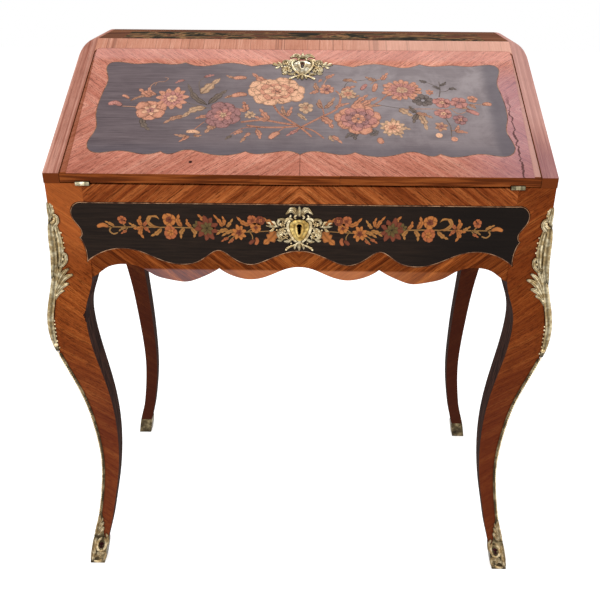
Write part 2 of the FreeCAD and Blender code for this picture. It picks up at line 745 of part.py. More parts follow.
fall_pivot_open = on_fall(0, stay_fall_along, -stay_fall_lift)
fall_pivot = Part.Vertex(fall_pivot_open)
fall_pivot.rotate(hinge_line, ALONG_X, -open_angle)
fall_pivot = fall_pivot.Point
strike_low = case_height - top_thickness - strike_height
elbow = Vector(0, slope_head.y - stay_setback, strike_low - stay_headroom)
cheek_pivot = elbow - (fall_pivot - hinge_line)
cheek_plane = cheek_inner - stay_gap - stay_thickness - stay_gap
rear_plane = cheek_plane - stay_thickness
front_plane = rear_plane - stay_gap - stay_thickness
bracket_plane = front_plane + stay_gap + stay_thickness
two_arms = stay_thickness + stay_gap + stay_thickness
rear_arms = []
front_arms = []
cheek_plates = []
fall_brackets = []
for side in (-1, 1):
    def sided(shape):
        return mirrored(shape) if side < 0 else shape

    rear = arm(cheek_pivot, elbow, rear_plane, stay_thickness)
    for pivot in (cheek_pivot, elbow):
        rear = rear.cut(rod(
            pivot + ALONG_X * rear_plane, ALONG_X, stay_pin_radius + pin_play, stay_thickness))
    front_arm = arm(fall_pivot, elbow, front_plane, stay_thickness)
    elbow_pin = rod(elbow + ALONG_X * front_plane, ALONG_X, stay_pin_radius, two_arms)
    front_arm = front_arm.fuse(elbow_pin).removeSplitter()
    front_arm = front_arm.cut(rod(
        fall_pivot + ALONG_X * front_plane, ALONG_X, stay_pin_radius + pin_play, stay_thickness))
    plate_back = rod(cheek_pivot + ALONG_X * (cheek_inner - stay_gap), ALONG_X, stay_plate_radius, stay_gap)
    plate_stud = rod(cheek_pivot + ALONG_X * rear_plane, ALONG_X, stay_pin_radius, cheek_inner - rear_plane)
    cheek_stay_plate = plate_back.fuse(plate_stud).removeSplitter()
    foot = fall_block(front_plane, bracket_plane + stay_thickness, stay_fall_along - bracket_length / 2,
                      stay_fall_along + bracket_length / 2, 0, leaf_thickness)
    ear = fall_block(bracket_plane, bracket_plane + stay_thickness, stay_fall_along - stay_half_width,
                     stay_fall_along + stay_half_width, -stay_fall_lift - stay_half_width, 0)
    stud = rod(fall_pivot_open + ALONG_X * front_plane, ALONG_X, stay_pin_radius, two_arms)
    bracket = foot.fuse(ear).fuse(stud).removeSplitter()
    fall_board = fall_board.cut(sided(foot))
    rear_arms.append(sided(rear))
    front_arms.append(sided(front_arm))
    cheek_plates.append(sided(cheek_stay_plate))
    fall_brackets.append(closed(sided(bracket)))
keep("stay_rear_arms", *rear_arms)
keep("stay_front_arms", *front_arms)
keep("stay_cheek_plates", *cheek_plates)
keep("stay_fall_brackets", *fall_brackets)

# The lip carries a raised block under the middle of the fall.
lip_block_half = 57.0
lip_block_stand = 1.2
lip_block = block(-lip_block_half, lip_block_half, front - lip_block_stand, front,
                  writing_height + hinge_gap, writing_height + lip_height)
keep("fall_board", closed(fall_board).fuse(lip_block).removeSplitter())

# Nest: small drawers under pigeonholes, between two side boards at the back of the case.
nest_board = 6.0
nest_side = 14.0
nest_drawer_height = 50.0
nest_gap = 0.6
nest_back = back - back_thickness
nest_half = cheek_inner - nest_side
nest_top = case_height - top_thickness
shelf_low = writing_height + nest_drawer_height
nest_sides = []
for side in (-1, 1):
    board = side_block(side, nest_half, cheek_inner, nest_front, nest_back, writing_height, nest_top)
    nest_sides.append(board.cut(strike_rail))
keep("nest_sides", *nest_sides)
keep("nest_shelf", block(-nest_half, nest_half, nest_front, nest_back, shelf_low, shelf_low + nest_board))
pigeonholes = 4
hole_pitch = (nest_half + nest_half) / pigeonholes
uprights = []
for index in range(1, pigeonholes):
    centre = index * hole_pitch - nest_half
    board = block(centre - nest_board / 2, centre + nest_board / 2, nest_front, nest_back,
                  shelf_low + nest_board, nest_top)
    uprights.append(board.cut(strike_rail))
keep("nest_uprights", *uprights)
drawer_names = ("left", "middle", "right")
drawer_pitch = (nest_half + nest_half) / len(drawer_names)
partitions = []
tray_wall = 5.0
nest_front_thickness = 9.0
knob_radius = 5.0
knob_length = 12.0
knob_neck_radius = 2.2
knob_neck = 3.0
for index, name in enumerate(drawer_names):
    low_x = index * drawer_pitch - nest_half
    if index > 0:
        partitions.append(block(low_x - nest_board / 2, low_x + nest_board / 2, nest_front, nest_back,
                                writing_height, shelf_low))
    left_x = low_x + (nest_board / 2 if index > 0 else 0) + nest_gap
    right_x = low_x + drawer_pitch - (nest_board / 2 if index < len(drawer_names) - 1 else 0) - nest_gap
    low_z = writing_height + snug_gap
    high_z = shelf_low - nest_gap
    tray_front = nest_front + nest_front_thickness
    front_board = block(left_x, right_x, nest_front, tray_front, low_z, high_z)
    tray = block(left_x, right_x, tray_front, nest_back - snug_gap, low_z, high_z - tray_wall)
    hollow = block(left_x + tray_wall, right_x - tray_wall, tray_front, nest_back - snug_gap - tray_wall,
                   low_z + tray_wall, high_z)
    knob_centre = Vector((left_x + right_x) / 2, nest_front, (low_z + high_z) / 2)
    neck = rod(knob_centre, -ALONG_Y, knob_neck_radius, knob_neck)
    shank = rod(knob_centre, ALONG_Y, knob_neck_radius, nest_front_thickness)
    ball = Part.makeSphere(knob_radius, knob_centre - ALONG_Y * (knob_length - knob_radius))
    keep(f"nest_drawer_front_{name}", front_board.cut(shank))
    keep(f"nest_drawer_tray_{name}", tray.cut(hollow))
    keep(f"nest_drawer_knob_{name}", neck.fuse(shank).fuse(ball).removeSplitter())
keep("nest_partitions", *partitions)

# Corner mounts, the brass edge beads below them and the sabots, all fitted over the front legs' corners.
# Heights are shares of the writing height, stands of the mount's stand, widths of its widest leaf.
mount_leaf = 30.0
mount_height_shares = (0.618, 0.646, 0.688, 0.722, 0.757, 0.774, 0.792,
                       0.811, 0.843, 0.865, 0.903, 0.922, 0.944, 0.961)
mount_stand_shares = (0.5, 0.9, 1.0, 1.0, 0.9, 1.05, 1.15, 1.25, 1.1, 1.0, 1.0, 1.15, 0.7, 0.2)
mount_width_shares = (0.10, 0.21, 0.25, 0.24, 0.27, 0.48, 0.70, 1.0, 0.70, 0.54, 0.42, 0.50, 0.29, 0.07)
sabot_height_shares = (0, 0.22, 0.42, 0.60, 0.80, 1.0)
sabot_cover_shares = (1.1, 1.1, 0.98, 0.62, 0.36, 0.14)


def covering(side, end, heights, stands, widths):
    """A brass covering over a leg's outer corner, hollow where the wood is."""
    outers = [swing_at(end, height) + stand for height, stand in zip(heights, stands)]
    inners = [swing_at(end, height) - width for height, width in zip(heights, widths)]
    return corner_solid(side, end, heights, outers, inners, inners).cut(leg_wood[side, end])


leg_wood = {}
for side, side_name in ((-1, "left"), (1, "right")):
    for end, end_name in ((-1, "front"), (1, "back")):
        leg_wood[side, end] = leg_blank(side, end).cut(
            block(-case_width, case_width, -case_depth, case_depth, -overrun, sole_thickness))

for side, side_name in ((-1, "left"), (1, "right")):
    mount_heights = [share * writing_height for share in mount_height_shares]
    mount_stands = [share * mount_stand for share in mount_stand_shares]
    mount_widths = [share * mount_leaf for share in mount_width_shares]
    keep(f"corner_mount_{side_name}", covering(side, -1, mount_heights, mount_stands, mount_widths))
    bead_shares = (0, 0.15, 0.3, 0.45, 0.6, 0.75, 0.9, 1)
    bead_heights = [sabot_height + (mount_heights[0] - sabot_height) * share for share in bead_shares]
    bead_stands = [bead_stand] * len(bead_shares)
    bead_widths = [bead_width] * len(bead_shares)
    keep(f"leg_bead_{side_name}", covering(side, -1, bead_heights, bead_stands, bead_widths))
    for end, end_name in ((-1, "front"), (1, "back")):
        sabot_heights = [share * sabot_height for share in sabot_height_shares]
        sabot_widths = [
            cover * share_at(height, leg_shares[end][1]) * post_width
            for cover, height in zip(sabot_cover_shares, sabot_heights)
        ]
        sabot_stands = [sabot_thickness] * len(sabot_heights)
        sabot = covering(side, end, sabot_heights, sabot_stands, sabot_widths)
        keep(f"sabot_{end_name}_{side_name}", sabot)

for name, shape in pieces.items():
    shape.exportStep(f"parts/{name}.step")
    box = shape.BoundBox
    print(f"{name:26s} solids {len(shape.Solids)} valid {shape.isValid()} volume {shape.Volume:12.1f}"
          f" x {box.XMin:8.2f} {box.XMax:8.2f} y {box.YMin:8.2f} {box.YMax:8.2f}"
          f" z {box.ZMin:8.2f} {box.ZMax:8.2f}")
for name, pivot in (("fall pivot", fall_pivot), ("cheek pivot", cheek_pivot), ("elbow", elbow)):
    print(f"{name:26s} y {pivot.y:8.3f} z {pivot.z:8.3f}")
print("nodes", len(pieces))
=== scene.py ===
import bpy
import bmesh
import math
from mathutils import Matrix, Vector
from mathutils.bvhtree import BVHTree


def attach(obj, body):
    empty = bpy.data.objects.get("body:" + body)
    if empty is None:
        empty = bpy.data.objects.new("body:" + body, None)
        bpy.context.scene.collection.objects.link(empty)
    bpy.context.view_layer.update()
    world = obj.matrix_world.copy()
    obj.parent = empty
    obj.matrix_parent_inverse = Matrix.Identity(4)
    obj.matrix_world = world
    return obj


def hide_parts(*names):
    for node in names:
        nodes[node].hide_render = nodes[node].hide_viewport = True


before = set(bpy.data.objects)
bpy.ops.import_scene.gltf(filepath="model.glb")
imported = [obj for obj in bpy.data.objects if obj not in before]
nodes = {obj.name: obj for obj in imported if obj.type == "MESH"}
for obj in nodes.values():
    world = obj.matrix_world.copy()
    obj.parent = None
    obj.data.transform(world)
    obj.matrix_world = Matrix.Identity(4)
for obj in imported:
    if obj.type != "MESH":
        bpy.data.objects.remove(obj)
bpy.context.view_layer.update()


# Room: a plain pale floor and a white backdrop that the camera and shiny surfaces see,
# with soft studio lamps, so that the desk keeps its own colours.
scene = bpy.context.scene
scene.view_settings.view_transform = "Standard"
white = (1.0, 1.0, 1.0, 1.0)
room_light = 0.55
floor_size = 12.0
floor_colour = (0.80, 0.80, 0.80, 1.0)
floor_glow = 0.62


def seen_straight(tree):
    """Tells the light that reaches the eye straight, or off metal or through glass, from the rest."""
    path = tree.nodes.new("ShaderNodeLightPath").outputs
    share = path["Is Camera Ray"]
    for kind in ("Is Glossy Ray", "Is Transmission Ray"):
        either = tree.nodes.new("ShaderNodeMath")
        either.operation = "MAXIMUM"
        tree.links.new(share, either.inputs[0])
        tree.links.new(path[kind], either.inputs[1])
        share = either.outputs["Value"]
    return share


scene.world = bpy.data.worlds.new("studio")
scene.world.use_nodes = True
world_tree = scene.world.node_tree
world_mix = world_tree.nodes.new("ShaderNodeMixShader")
world_tree.links.new(seen_straight(world_tree), world_mix.inputs["Fac"])
backdrops = ((world_tree.nodes["Background"], room_light),
             (world_tree.nodes.new("ShaderNodeBackground"), 1.0))
for number, (backdrop, strength) in enumerate(backdrops):
    backdrop.inputs["Color"].default_value = white
    backdrop.inputs["Strength"].default_value = strength
    world_tree.links.new(backdrop.outputs["Background"], world_mix.inputs[1 + number])
world_tree.links.new(world_mix.outputs["Shader"], world_tree.nodes["World Output"].inputs["Surface"])

floor_mesh = bpy.data.meshes.new("floor")
floor_bm = bmesh.new()
bmesh.ops.create_grid(floor_bm, x_segments=1, y_segments=1, size=floor_size / 2)
floor_bm.to_mesh(floor_mesh)
floor_bm.free()
floor = bpy.data.objects.new("floor", floor_mesh)
scene.collection.objects.link(floor)
floor_material = bpy.data.materials.new("floor_paper")
floor_material.use_nodes = True
floor_tree = floor_material.node_tree
floor_shader = floor_tree.nodes["Principled BSDF"]
floor_shader.inputs["Base Color"].default_value = floor_colour
floor_shader.inputs["Roughness"].default_value = 0.8
floor_shader.inputs["Emission Color"].default_value = white
floor_white = floor_tree.nodes.new("ShaderNodeMath")
floor_white.operation = "MULTIPLY"
floor_white.inputs[1].default_value = floor_glow
floor_tree.links.new(seen_straight(floor_tree), floor_white.inputs[0])
floor_tree.links.new(floor_white.outputs["Value"], floor_shader.inputs["Emission Strength"])
floor_mesh.materials.append(floor_material)

lamps_aim = Vector((0.0, 0.0, 0.6))
for lamp_name, lamp_place, lamp_size, lamp_power in (
        ("key", (-1.5, -2.2, 2.6), 1.6, 38.0),
        ("fill", (2.2, -1.6, 1.8), 2.0, 18.0),
        ("back", (0.3, 1.9, 2.4), 1.6, 26.0)):
    lamp_data = bpy.data.lights.new(lamp_name, "AREA")
    lamp_data.size = lamp_size
    lamp_data.energy = lamp_power
    lamp = bpy.data.objects.new(lamp_name, lamp_data)
    lamp.location = lamp_place
    lamp.rotation_euler = (lamps_aim - Vector(lamp_place)).to_track_quat("-Z", "Y").to_euler()
    scene.collection.objects.link(lamp)

# Camera: a hand-held phone in front of the desk, a little above its top and looking down.
camera_place = (0.0181, -1.2497, 1.0595)
camera_down, camera_turn, camera_roll = 0.46525, -0.01248, 0.00649
camera_focal_pixels = 764.65
picture_pixels = 600.0
picture_centre = (302.2, 303.76)
camera_data = bpy.data.cameras.new("camera")
camera = bpy.data.objects.new("camera", camera_data)
scene.collection.objects.link(camera)
scene.camera = camera
camera_data.sensor_width = 36.0
camera_data.lens = camera_focal_pixels / picture_pixels * camera_data.sensor_width
camera_data.shift_x = (picture_pixels / 2 - picture_centre[0]) / picture_pixels
camera_data.shift_y = (picture_centre[1] - picture_pixels / 2) / picture_pixels
forward = Vector((math.sin(camera_turn) * math.cos(camera_down),
                  math.cos(camera_turn) * math.cos(camera_down), -math.sin(camera_down)))
level_right = Vector((math.cos(camera_turn), -math.sin(camera_turn), 0.0))
level_up = level_right.cross(forward)
right = level_right * math.cos(camera_roll) + level_up * math.sin(camera_roll)
up = level_up * math.cos(camera_roll) - level_right * math.sin(camera_roll)
camera.matrix_world = Matrix.Translation(camera_place) @ Matrix((right, up, -forward)).transposed().to_4x4()


# Legs: four cabriole legs of beech whose posts run up to the case. Both outer faces are
# veneered in tulipwood laid slantwise, mirrored from leg to leg, and the inner faces are
# unvarnished and carry a dark painted shade.
def paint(red, green, blue):
    """A colour read off the real piece, each part out of 255, in the renderer's own light."""
    shares = [part / 255 for part in (red, green, blue)]
    light = [share / 12.92 if share <= 0.04045 else ((share + 0.055) / 1.055) ** 2.4 for share in shares]
    return light + [1.0]


class Finish:
    """A finish: a shader, the colour laid on it coat by coat, and the patterns that feed it.

    A plain colour is a triple out of 255."""

    def __init__(self, name, rough, metal=0.0, coat=0.0, gloss=0.03):
        self.material = bpy.data.materials.new(name)
        self.material.use_nodes = True
        self.tree = self.material.node_tree
        self.shader = self.tree.nodes["Principled BSDF"]
        for socket, value in (("Roughness", rough), ("Metallic", metal), ("Coat Weight", coat),
                              ("Coat Roughness", 0.16), ("Specular IOR Level", gloss)):
            self.shader.inputs[socket].default_value = value
        self.point = self.node("TexCoord", output="Object")
        self.x, self.y, self.z = self.parts(self.point)

    def node(self, kind, inputs=(), output=0, **settings):
        """One node, fed with values or with other nodes' outputs; gives one of its outputs."""
        made = self.tree.nodes.new("ShaderNode" + kind)
        for setting, value in settings.items():
            setattr(made, setting, value)
        for place, value in inputs.items() if isinstance(inputs, dict) else enumerate(inputs):
            if isinstance(value, bpy.types.NodeSocket):
                self.tree.links.new(value, made.inputs[place])
            else:
                made.inputs[place].default_value = value
        return made.outputs[output]

    def parts(self, point):
        """The three parts of a place or a direction."""
        return self.node("SeparateXYZ", (point,)).node.outputs[:]

    def facing(self):
        """The three parts of the way that the surface faces."""
        return self.parts(self.node("TexCoord", output="Normal"))

    def maths(self, operation, *inputs):
        """Arithmetic between values."""
        return self.node("Math", inputs, operation=operation)

    def both(self, share, *others):
        """Shares multiplied together."""
        for other in others:
            share = self.maths("MULTIPLY", share, other)
        return share

    def spread(self, value, low, high, to_low=0.0, to_high=1.0):
        """A value brought from one range to another, with soft ends."""
        return self.node("MapRange", (value, low, high, to_low, to_high), interpolation_type="SMOOTHSTEP")

    def noise(self, vector, scale, detail=3.0, rough=0.55, warp=0.0):
        """Soft random variation."""
        return self.node("TexNoise", {"Vector": vector, "Scale": scale, "Detail": detail, "Roughness": rough,
                                      "Distortion": warp})

    def stretched(self, scale, point=None, shift=(0, 0, 0)):
        """Places scaled by a factor for each direction, then shifted."""
        return self.node("Mapping", {"Vector": self.point if point is None else point, "Scale": scale,
                                     "Location": shift})

    def seen_from(self, centre, turn, size=(1, 1, 1), point=None):
        """Places measured from a centre along turned directions, each in its own unit."""
        return self.node("Mapping", {"Vector": self.point if point is None else point, "Location": centre,
                                     "Rotation": turn, "Scale": size}, vector_type="TEXTURE")

    def away_from(self, centre, point, scale=(1, 1, 1)):
        """How far a place lies from a centre, with each direction weighed."""
        off = self.node("VectorMath", (point, centre), operation="SUBTRACT")
        return self.node("VectorMath", (self.stretched(scale, off),), 1, operation="LENGTH")

    def ramp(self, value, *stops):
        """Colours along a value, each stop a place and a colour."""
        made = self.tree.nodes.new("ShaderNodeValToRGB")
        self.tree.links.new(value, made.inputs[0])
        stops = [(place, paint(*colour)) for place, colour in stops]
        elements = made.color_ramp.elements
        elements[0].position, elements[0].color = stops[0]
        elements[-1].position, elements[-1].color = stops[-1]
        for place, colour in stops[1:-1]:
            elements.new(place).color = colour
        return made.outputs["Color"]

    def mix(self, share, under, over, blend_type="MIX"):
        """Two colours laid over each other."""
        under, over = [paint(*colour) if isinstance(colour, tuple) else colour for colour in (under, over)]
        return self.node("Mix", {0: share, 6: under, 7: over}, 2, data_type="RGBA", blend_type=blend_type)

    def feed(self, socket, value):
        """Runs a value into the shader."""
        self.tree.links.new(value, self.shader.inputs[socket])

    def tint(self, colour):
        """Gives the finish its colour."""
        self.colour = colour
        self.feed("Base Color", colour)

    def lay(self, share, over, blend_type="MIX"):
        """Lays a colour over the finish, by its share at each place."""
        self.tint(self.mix(share, self.colour, over, blend_type))

    def fade(self, value, low, high, most, over, blend_type="MIX"):
        """Lays a colour that grows from nothing at one value to its most at the other."""
        self.lay(self.spread(value, low, high, 0.0, most), over, blend_type)

    def relief(self, height, strength, distance):
        """Gives the surface small relief."""
        self.feed("Normal", self.node("Bump", {"Height": height, "Strength": strength, "Distance": distance}))


def face_grain(made, centre, turn, angle, figure, matched):
    """Coordinates along and across the veneer of one face, mirrored about its centre where it is matched."""
    flat = made.seen_from(centre, turn)
    if matched:
        flat = made.node("VectorMath", (flat,), operation="ABSOLUTE")
    return made.seen_from((0, 0, 0), (0, 0, math.radians(angle)), figure, flat)


streak_depth = 0.36
half_way = 0.49


def wood(name, tones, *grains, rough=0.42, coat=0.035, streak=0.5, figure=0.11, mottle=0.5):
    """Varnished veneer: fine and broad stripes, dark streaks, pores and a slightly uneven polish.

    Tones run from dark to light. The first grain is the front face's layout, and a second one the sides'."""
    made = Finish(name, rough, coat=coat, gloss=0.0)
    laid = [face_grain(made, *grain) for grain in grains]
    grain = laid[0]
    if len(laid) > 1:
        sideways = made.maths("GREATER_THAN", made.maths("ABSOLUTE", made.facing()[0]), 0.7)
        grain = made.node("Mix", {0: sideways, 4: laid[0], 5: laid[1]}, 1, data_type="VECTOR")
    dark, middle, light = tones
    deep = [part * streak_depth for part in paint(*dark)[:3]] + [1.0]
    stripes = made.noise(grain, 1.3, 7.0, 0.68, 0.35)
    made.tint(made.ramp(stripes, (half_way - figure, dark), (half_way, middle), (half_way + figure, light)))
    made.fade(made.noise(grain, 0.33), 0.60, 0.40, mottle, dark)
    lines = made.noise(made.stretched((3.4, 5, 5), grain), 1.0, 5.0, 0.72, 0.5)
    made.fade(lines, 0.56, 0.62, streak, deep)
    flecks = made.noise(made.stretched((8, 22, 22), grain), 1.0, 2.0, 0.6)
    made.fade(flecks, 0.55, 0.61, 0.9 * streak, deep)
    cloud = made.noise(made.point, 14.0)
    made.fade(cloud, 0.62, 0.38, mottle, (206, 190, 182), "MULTIPLY")
    made.feed("Roughness", made.spread(cloud, 0.3, 0.7, rough - 0.06, rough + 0.10))
    made.relief(made.noise(grain, 9.0, 3.0, 0.7), 0.14, 0.0004)
    return made


def left_and_right(*names):
    """The names of pieces that come in pairs."""
    return [f"{name}_{side}" for name in names for side in ("left", "right")]


def clad(made, *names):
    """Gives CAD pieces their finish."""
    for name in names:
        materials = nodes[name].data.materials
        materials.clear()
        materials.append(made.material)


front_turn = (math.radians(90), 0, 0)
side_turn = (math.radians(90), 0, math.radians(90))
far_off = 9.0
leg_slant = -52
leg_figure = (0.0070, 0.20, 0.20)
legs = wood("tulipwood_legs", ((128, 60, 24), (164, 84, 36), (196, 114, 54)),
            ((0, 0, -far_off), front_turn, leg_slant, leg_figure, True),
            ((0, 0, -far_off), side_turn, leg_slant, leg_figure, True), streak=0.8, figure=0.16)
legs.fade(legs.z, 0.54, 0.28, 0.62, (98, 44, 32))
lit_posts = legs.both(legs.spread(legs.z, 0.57, 0.66), legs.spread(legs.x, 0.0, -0.25, 0.0, 0.4))
legs.lay(lit_posts, (200, 110, 56))
# Painted shade: the right-hand legs are darker.
legs.fade(legs.x, 0.25, 0.32, 0.38, (88, 34, 12))
# Painted shade: the back legs are much darker.
legs.fade(legs.y, 0.0, 0.1, 0.75, (58, 27, 20))
# Painted shade on the inner faces below the skirt, dark brown with a little grain.
inward = legs.both(legs.facing()[0], legs.maths("SIGN", legs.x))
inner_shade = legs.both(legs.spread(inward, -0.25, -0.75), legs.spread(legs.z, 0.579, 0.572))
inner_shade_grain = legs.noise(legs.stretched((320, 320, 14)), 1.0, 4.0)
legs.lay(inner_shade, legs.ramp(inner_shade_grain, (0.35, (36, 21, 17)), (0.5, (56, 35, 28)), (0.66, (78, 50, 41))))
chip_place, chip_scale = (-0.323, -0.21, 0.513), (1.0, 0.3, 0.7)
chip_size = legs.maths("ADD", legs.away_from(chip_place, legs.point, chip_scale),
                       legs.both(legs.noise(legs.point, 190.0), 0.014))
legs.fade(chip_size, 0.0155, 0.0145, 1.0, (44, 26, 22))
clad(legs, *left_and_right("leg_front", "leg_back"))


# Corner mounts: a cast and chased gilt brass mount over each front knee, pinned through its
# stem. A bud and a scroll stand over a long veined leaf, a curled side leaf and a spread of
# acanthus, and the same leaves lie on both faces of the corner.
corner_x, corner_y, corner_round = 366.5, -196.8, 3.5
feeler_aside, feeler_ahead = 99, 100
lowest_felt, highest_felt = 6, 715


def over_corner(side_name):
    """Places over a front leg's corner, felt on the wood itself with slanting rays.

    Across is inward on the front face, or backward when negative. All measures are in mm."""
    skin = nodes[f"leg_front_{side_name}"].data
    leg_skin = BVHTree.FromPolygons([vertex.co for vertex in skin.vertices],
                                    [list(face.vertices) for face in skin.polygons])
    side = -1 if side_name == "left" else 1
    swings = {}

    def place(across, height, stand):
        key = round(height)
        if key not in swings:
            felt = min(max(key, lowest_felt), highest_felt)
            start = Vector((side * (corner_x + feeler_aside), corner_y - feeler_ahead, felt)) / 1000
            swings[key] = corner_y - leg_skin.ray_cast(start, Vector((-side, 1, 0)).normalized())[0].y * 1000
        swing = swings[key]
        turn = math.radians(45) * (1 + max(-1.0, min(1.0, across / corner_round)))
        x = corner_x + swing - max(across, 0) + stand * math.cos(turn)
        y = swing + min(across, 0) + stand * math.sin(turn)
        return Vector((side * x, corner_y - y, height)) / 1000

    return place


corners = {side_name: over_corner(side_name) for side_name in ("left", "right")}


def spine_point(spine, share):
    """A place and a heading on a smooth line through points."""
    reach = share * (len(spine) - 1)
    index = min(int(reach), len(spine) - 2)
    part = reach - index
    four = [Vector(spine[max(0, min(len(spine) - 1, index + step))]) for step in (-1, 0, 1, 2)]
    first = four[2] - four[0]
    second = 2 * four[0] - 5 * four[1] + 4 * four[2] - four[3]
    third = 3 * four[1] - 3 * four[2] + four[3] - four[0]
    place = 0.5 * (2 * four[1] + first * part + second * part ** 2 + third * part ** 3)
    return place, (0.5 * (first + 2 * second * part + 3 * third * part ** 2)).normalized()


def width_at(widths, share):
    """A width read between widths that are spaced evenly along a leaf."""
    reach = share * (len(widths) - 1)
    index = min(int(reach), len(widths) - 2)
    part = reach - index
    part = part * part * (3 - 2 * part)
    return widths[index] + (widths[index + 1] - widths[index]) * part


rib_turns = 2.5


def leaf(bm, place, spine, widths, tone, crown=0.0, stand=0.0, rib=0.0, ruffle=0.0, tip=0.0,
         rows=8, columns=6, edge=0.6, foot=0.3, vein=0.0, lobes=3):
    """A leaf, petal or stem: a grid bent along its spine, domed across, with darker edges and foot,
    which are painted shade on cast brass and sand scorching on sawn wood.

    A ruffle cuts its sides into lobes that point to its tip, with a vein to each notch."""
    layer = bm.verts.layers.float_color["tone"]
    made = bmesh.ops.create_grid(bm, x_segments=columns, y_segments=rows, size=0.5)["verts"]
    for vertex in made:
        across = 2 * vertex.co.x
        share = 0.5 - 0.5 * math.cos(math.pi * (vertex.co.y + 0.5))
        middle, heading = spine_point(spine, share)
        notch = (1 - share * lobes % 1.0) ** 2
        half = width_at(widths, share) * (1 + 0.3 * ruffle - ruffle * notch)
        spot = middle + Vector((heading.y, -heading.x)) * across * half
        swell = math.sin(math.pi * min(1.0, 0.12 + share * 0.84)) ** 0.5
        dome = math.sqrt(max(0.0, 1 - across * across)) * swell
        ribs = math.cos(across * math.pi * rib_turns)
        groove = ribs * rib * (1 - across * across)
        vertex.co = place(spot.x, spot.y, stand + crown * dome + groove + tip * share ** 3)
        # Darker rim, foot, veins and rib grooves: painted shade on cast brass, scorching and dark lines on
        # sawn wood.
        rim = max(across ** 6, max(0.0, share * 6 - 5) ** 2, max(0.0, 1 - share * 7) ** 2)
        veined = max(0.0, 1 - abs(across) * 5, ruffle * notch ** 3)
        dull = 1 - edge * rim - foot * (1 - share) ** 2 - vein * veined
        if rib:
            dull *= 0.62 + 0.38 * ribs
        vertex[layer] = [part * max(dull, 0.05) for part in tone[:3]] + [1.0]


def begin():
    """An empty mesh that holds a tone at each point."""
    bm = bmesh.new()
    bm.verts.layers.float_color.new("tone")
    return bm


def settle(bm, name, made, slot, body, *replaced, smooth=True):
    """Turns a finished mesh into a piece that rides on its body."""
    mesh = bpy.data.meshes.new(name)
    for face in bm.faces:
        face.smooth = smooth
    bm.to_mesh(mesh)
    bm.free()
    piece = bpy.data.objects.new(name, mesh)
    scene.collection.objects.link(piece)
    mesh.materials.append(made.material)
    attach(piece, body)
    if replaced:
        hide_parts(*replaced)
    return piece


# Chased brass: cast, worked over with punches and gilt. The tone at each point carries painted
# shade in its recesses, at its leaf edges and in its rib grooves, with the crowns left bright.
chased_brass = Finish("chased_brass", 0.33, metal=1.0)
chased_brass.tint(chased_brass.node("Attribute", output="Color", attribute_name="tone"))
grime = chased_brass.noise(chased_brass.point, 240.0, 4.0, 0.65)
chased_brass.fade(grime, 0.35, 0.7, 0.5, (96, 74, 40), "MULTIPLY")
chased_brass.fade(chased_brass.noise(chased_brass.point, 105.0), 0.60, 0.42, 0.7, (176, 150, 102), "MULTIPLY")
chased_brass.feed("Roughness", chased_brass.spread(grime, 0.3, 0.7, 0.27, 0.49))
chased_brass.relief(chased_brass.noise(chased_brass.point, 900.0), 0.25, 0.0003)
brass_tone = paint(255, 238, 196)


def pearl(bm, place, across, height, stand, radius, rings=2):
    """One bead of a cast string, seated on the surface."""
    made = bmesh.ops.create_icosphere(bm, subdivisions=rings, radius=radius / 1000,
                                      matrix=Matrix.Translation(place(across, height, stand)))["verts"]
    for vertex in made:
        vertex[bm.verts.layers.float_color["tone"]] = brass_tone


def points_of(spine, side=1):
    """The points of a spine that is written as x and y in turn, mirrored when the side is -1."""
    return [(side * x, y) for x, y in zip(spine[::2], spine[1::2])]


sunk_in = 0.8


def chased(bm, place, leaves, both=True, tone=brass_tone):
    """Cast leaves with deep ribs and dark edges of painted shade, and their likes on the other side."""
    for spine, widths, crown, stand, rib, tip in leaves:
        for side in (1, -1) if both and abs(spine[0]) + abs(spine[-2]) > 0.1 else (1,):
            leaf(bm, place, points_of(spine, side), widths, tone, crown, stand - sunk_in, rib, 0.12, tip,
                 rows=14, columns=10, edge=0.93, foot=0.35, vein=0.0 if rib else 0.3)


def settle_cast(bm, name, body, *replaced):
    """Turns thin cast work into a piece with its wall."""
    piece = settle(bm, name, chased_brass, "gilt_brass", body, *replaced)
    wall = piece.modifiers.new("cast_wall", "SOLIDIFY")
    wall.thickness = 0.0009
    wall.offset = -1.0


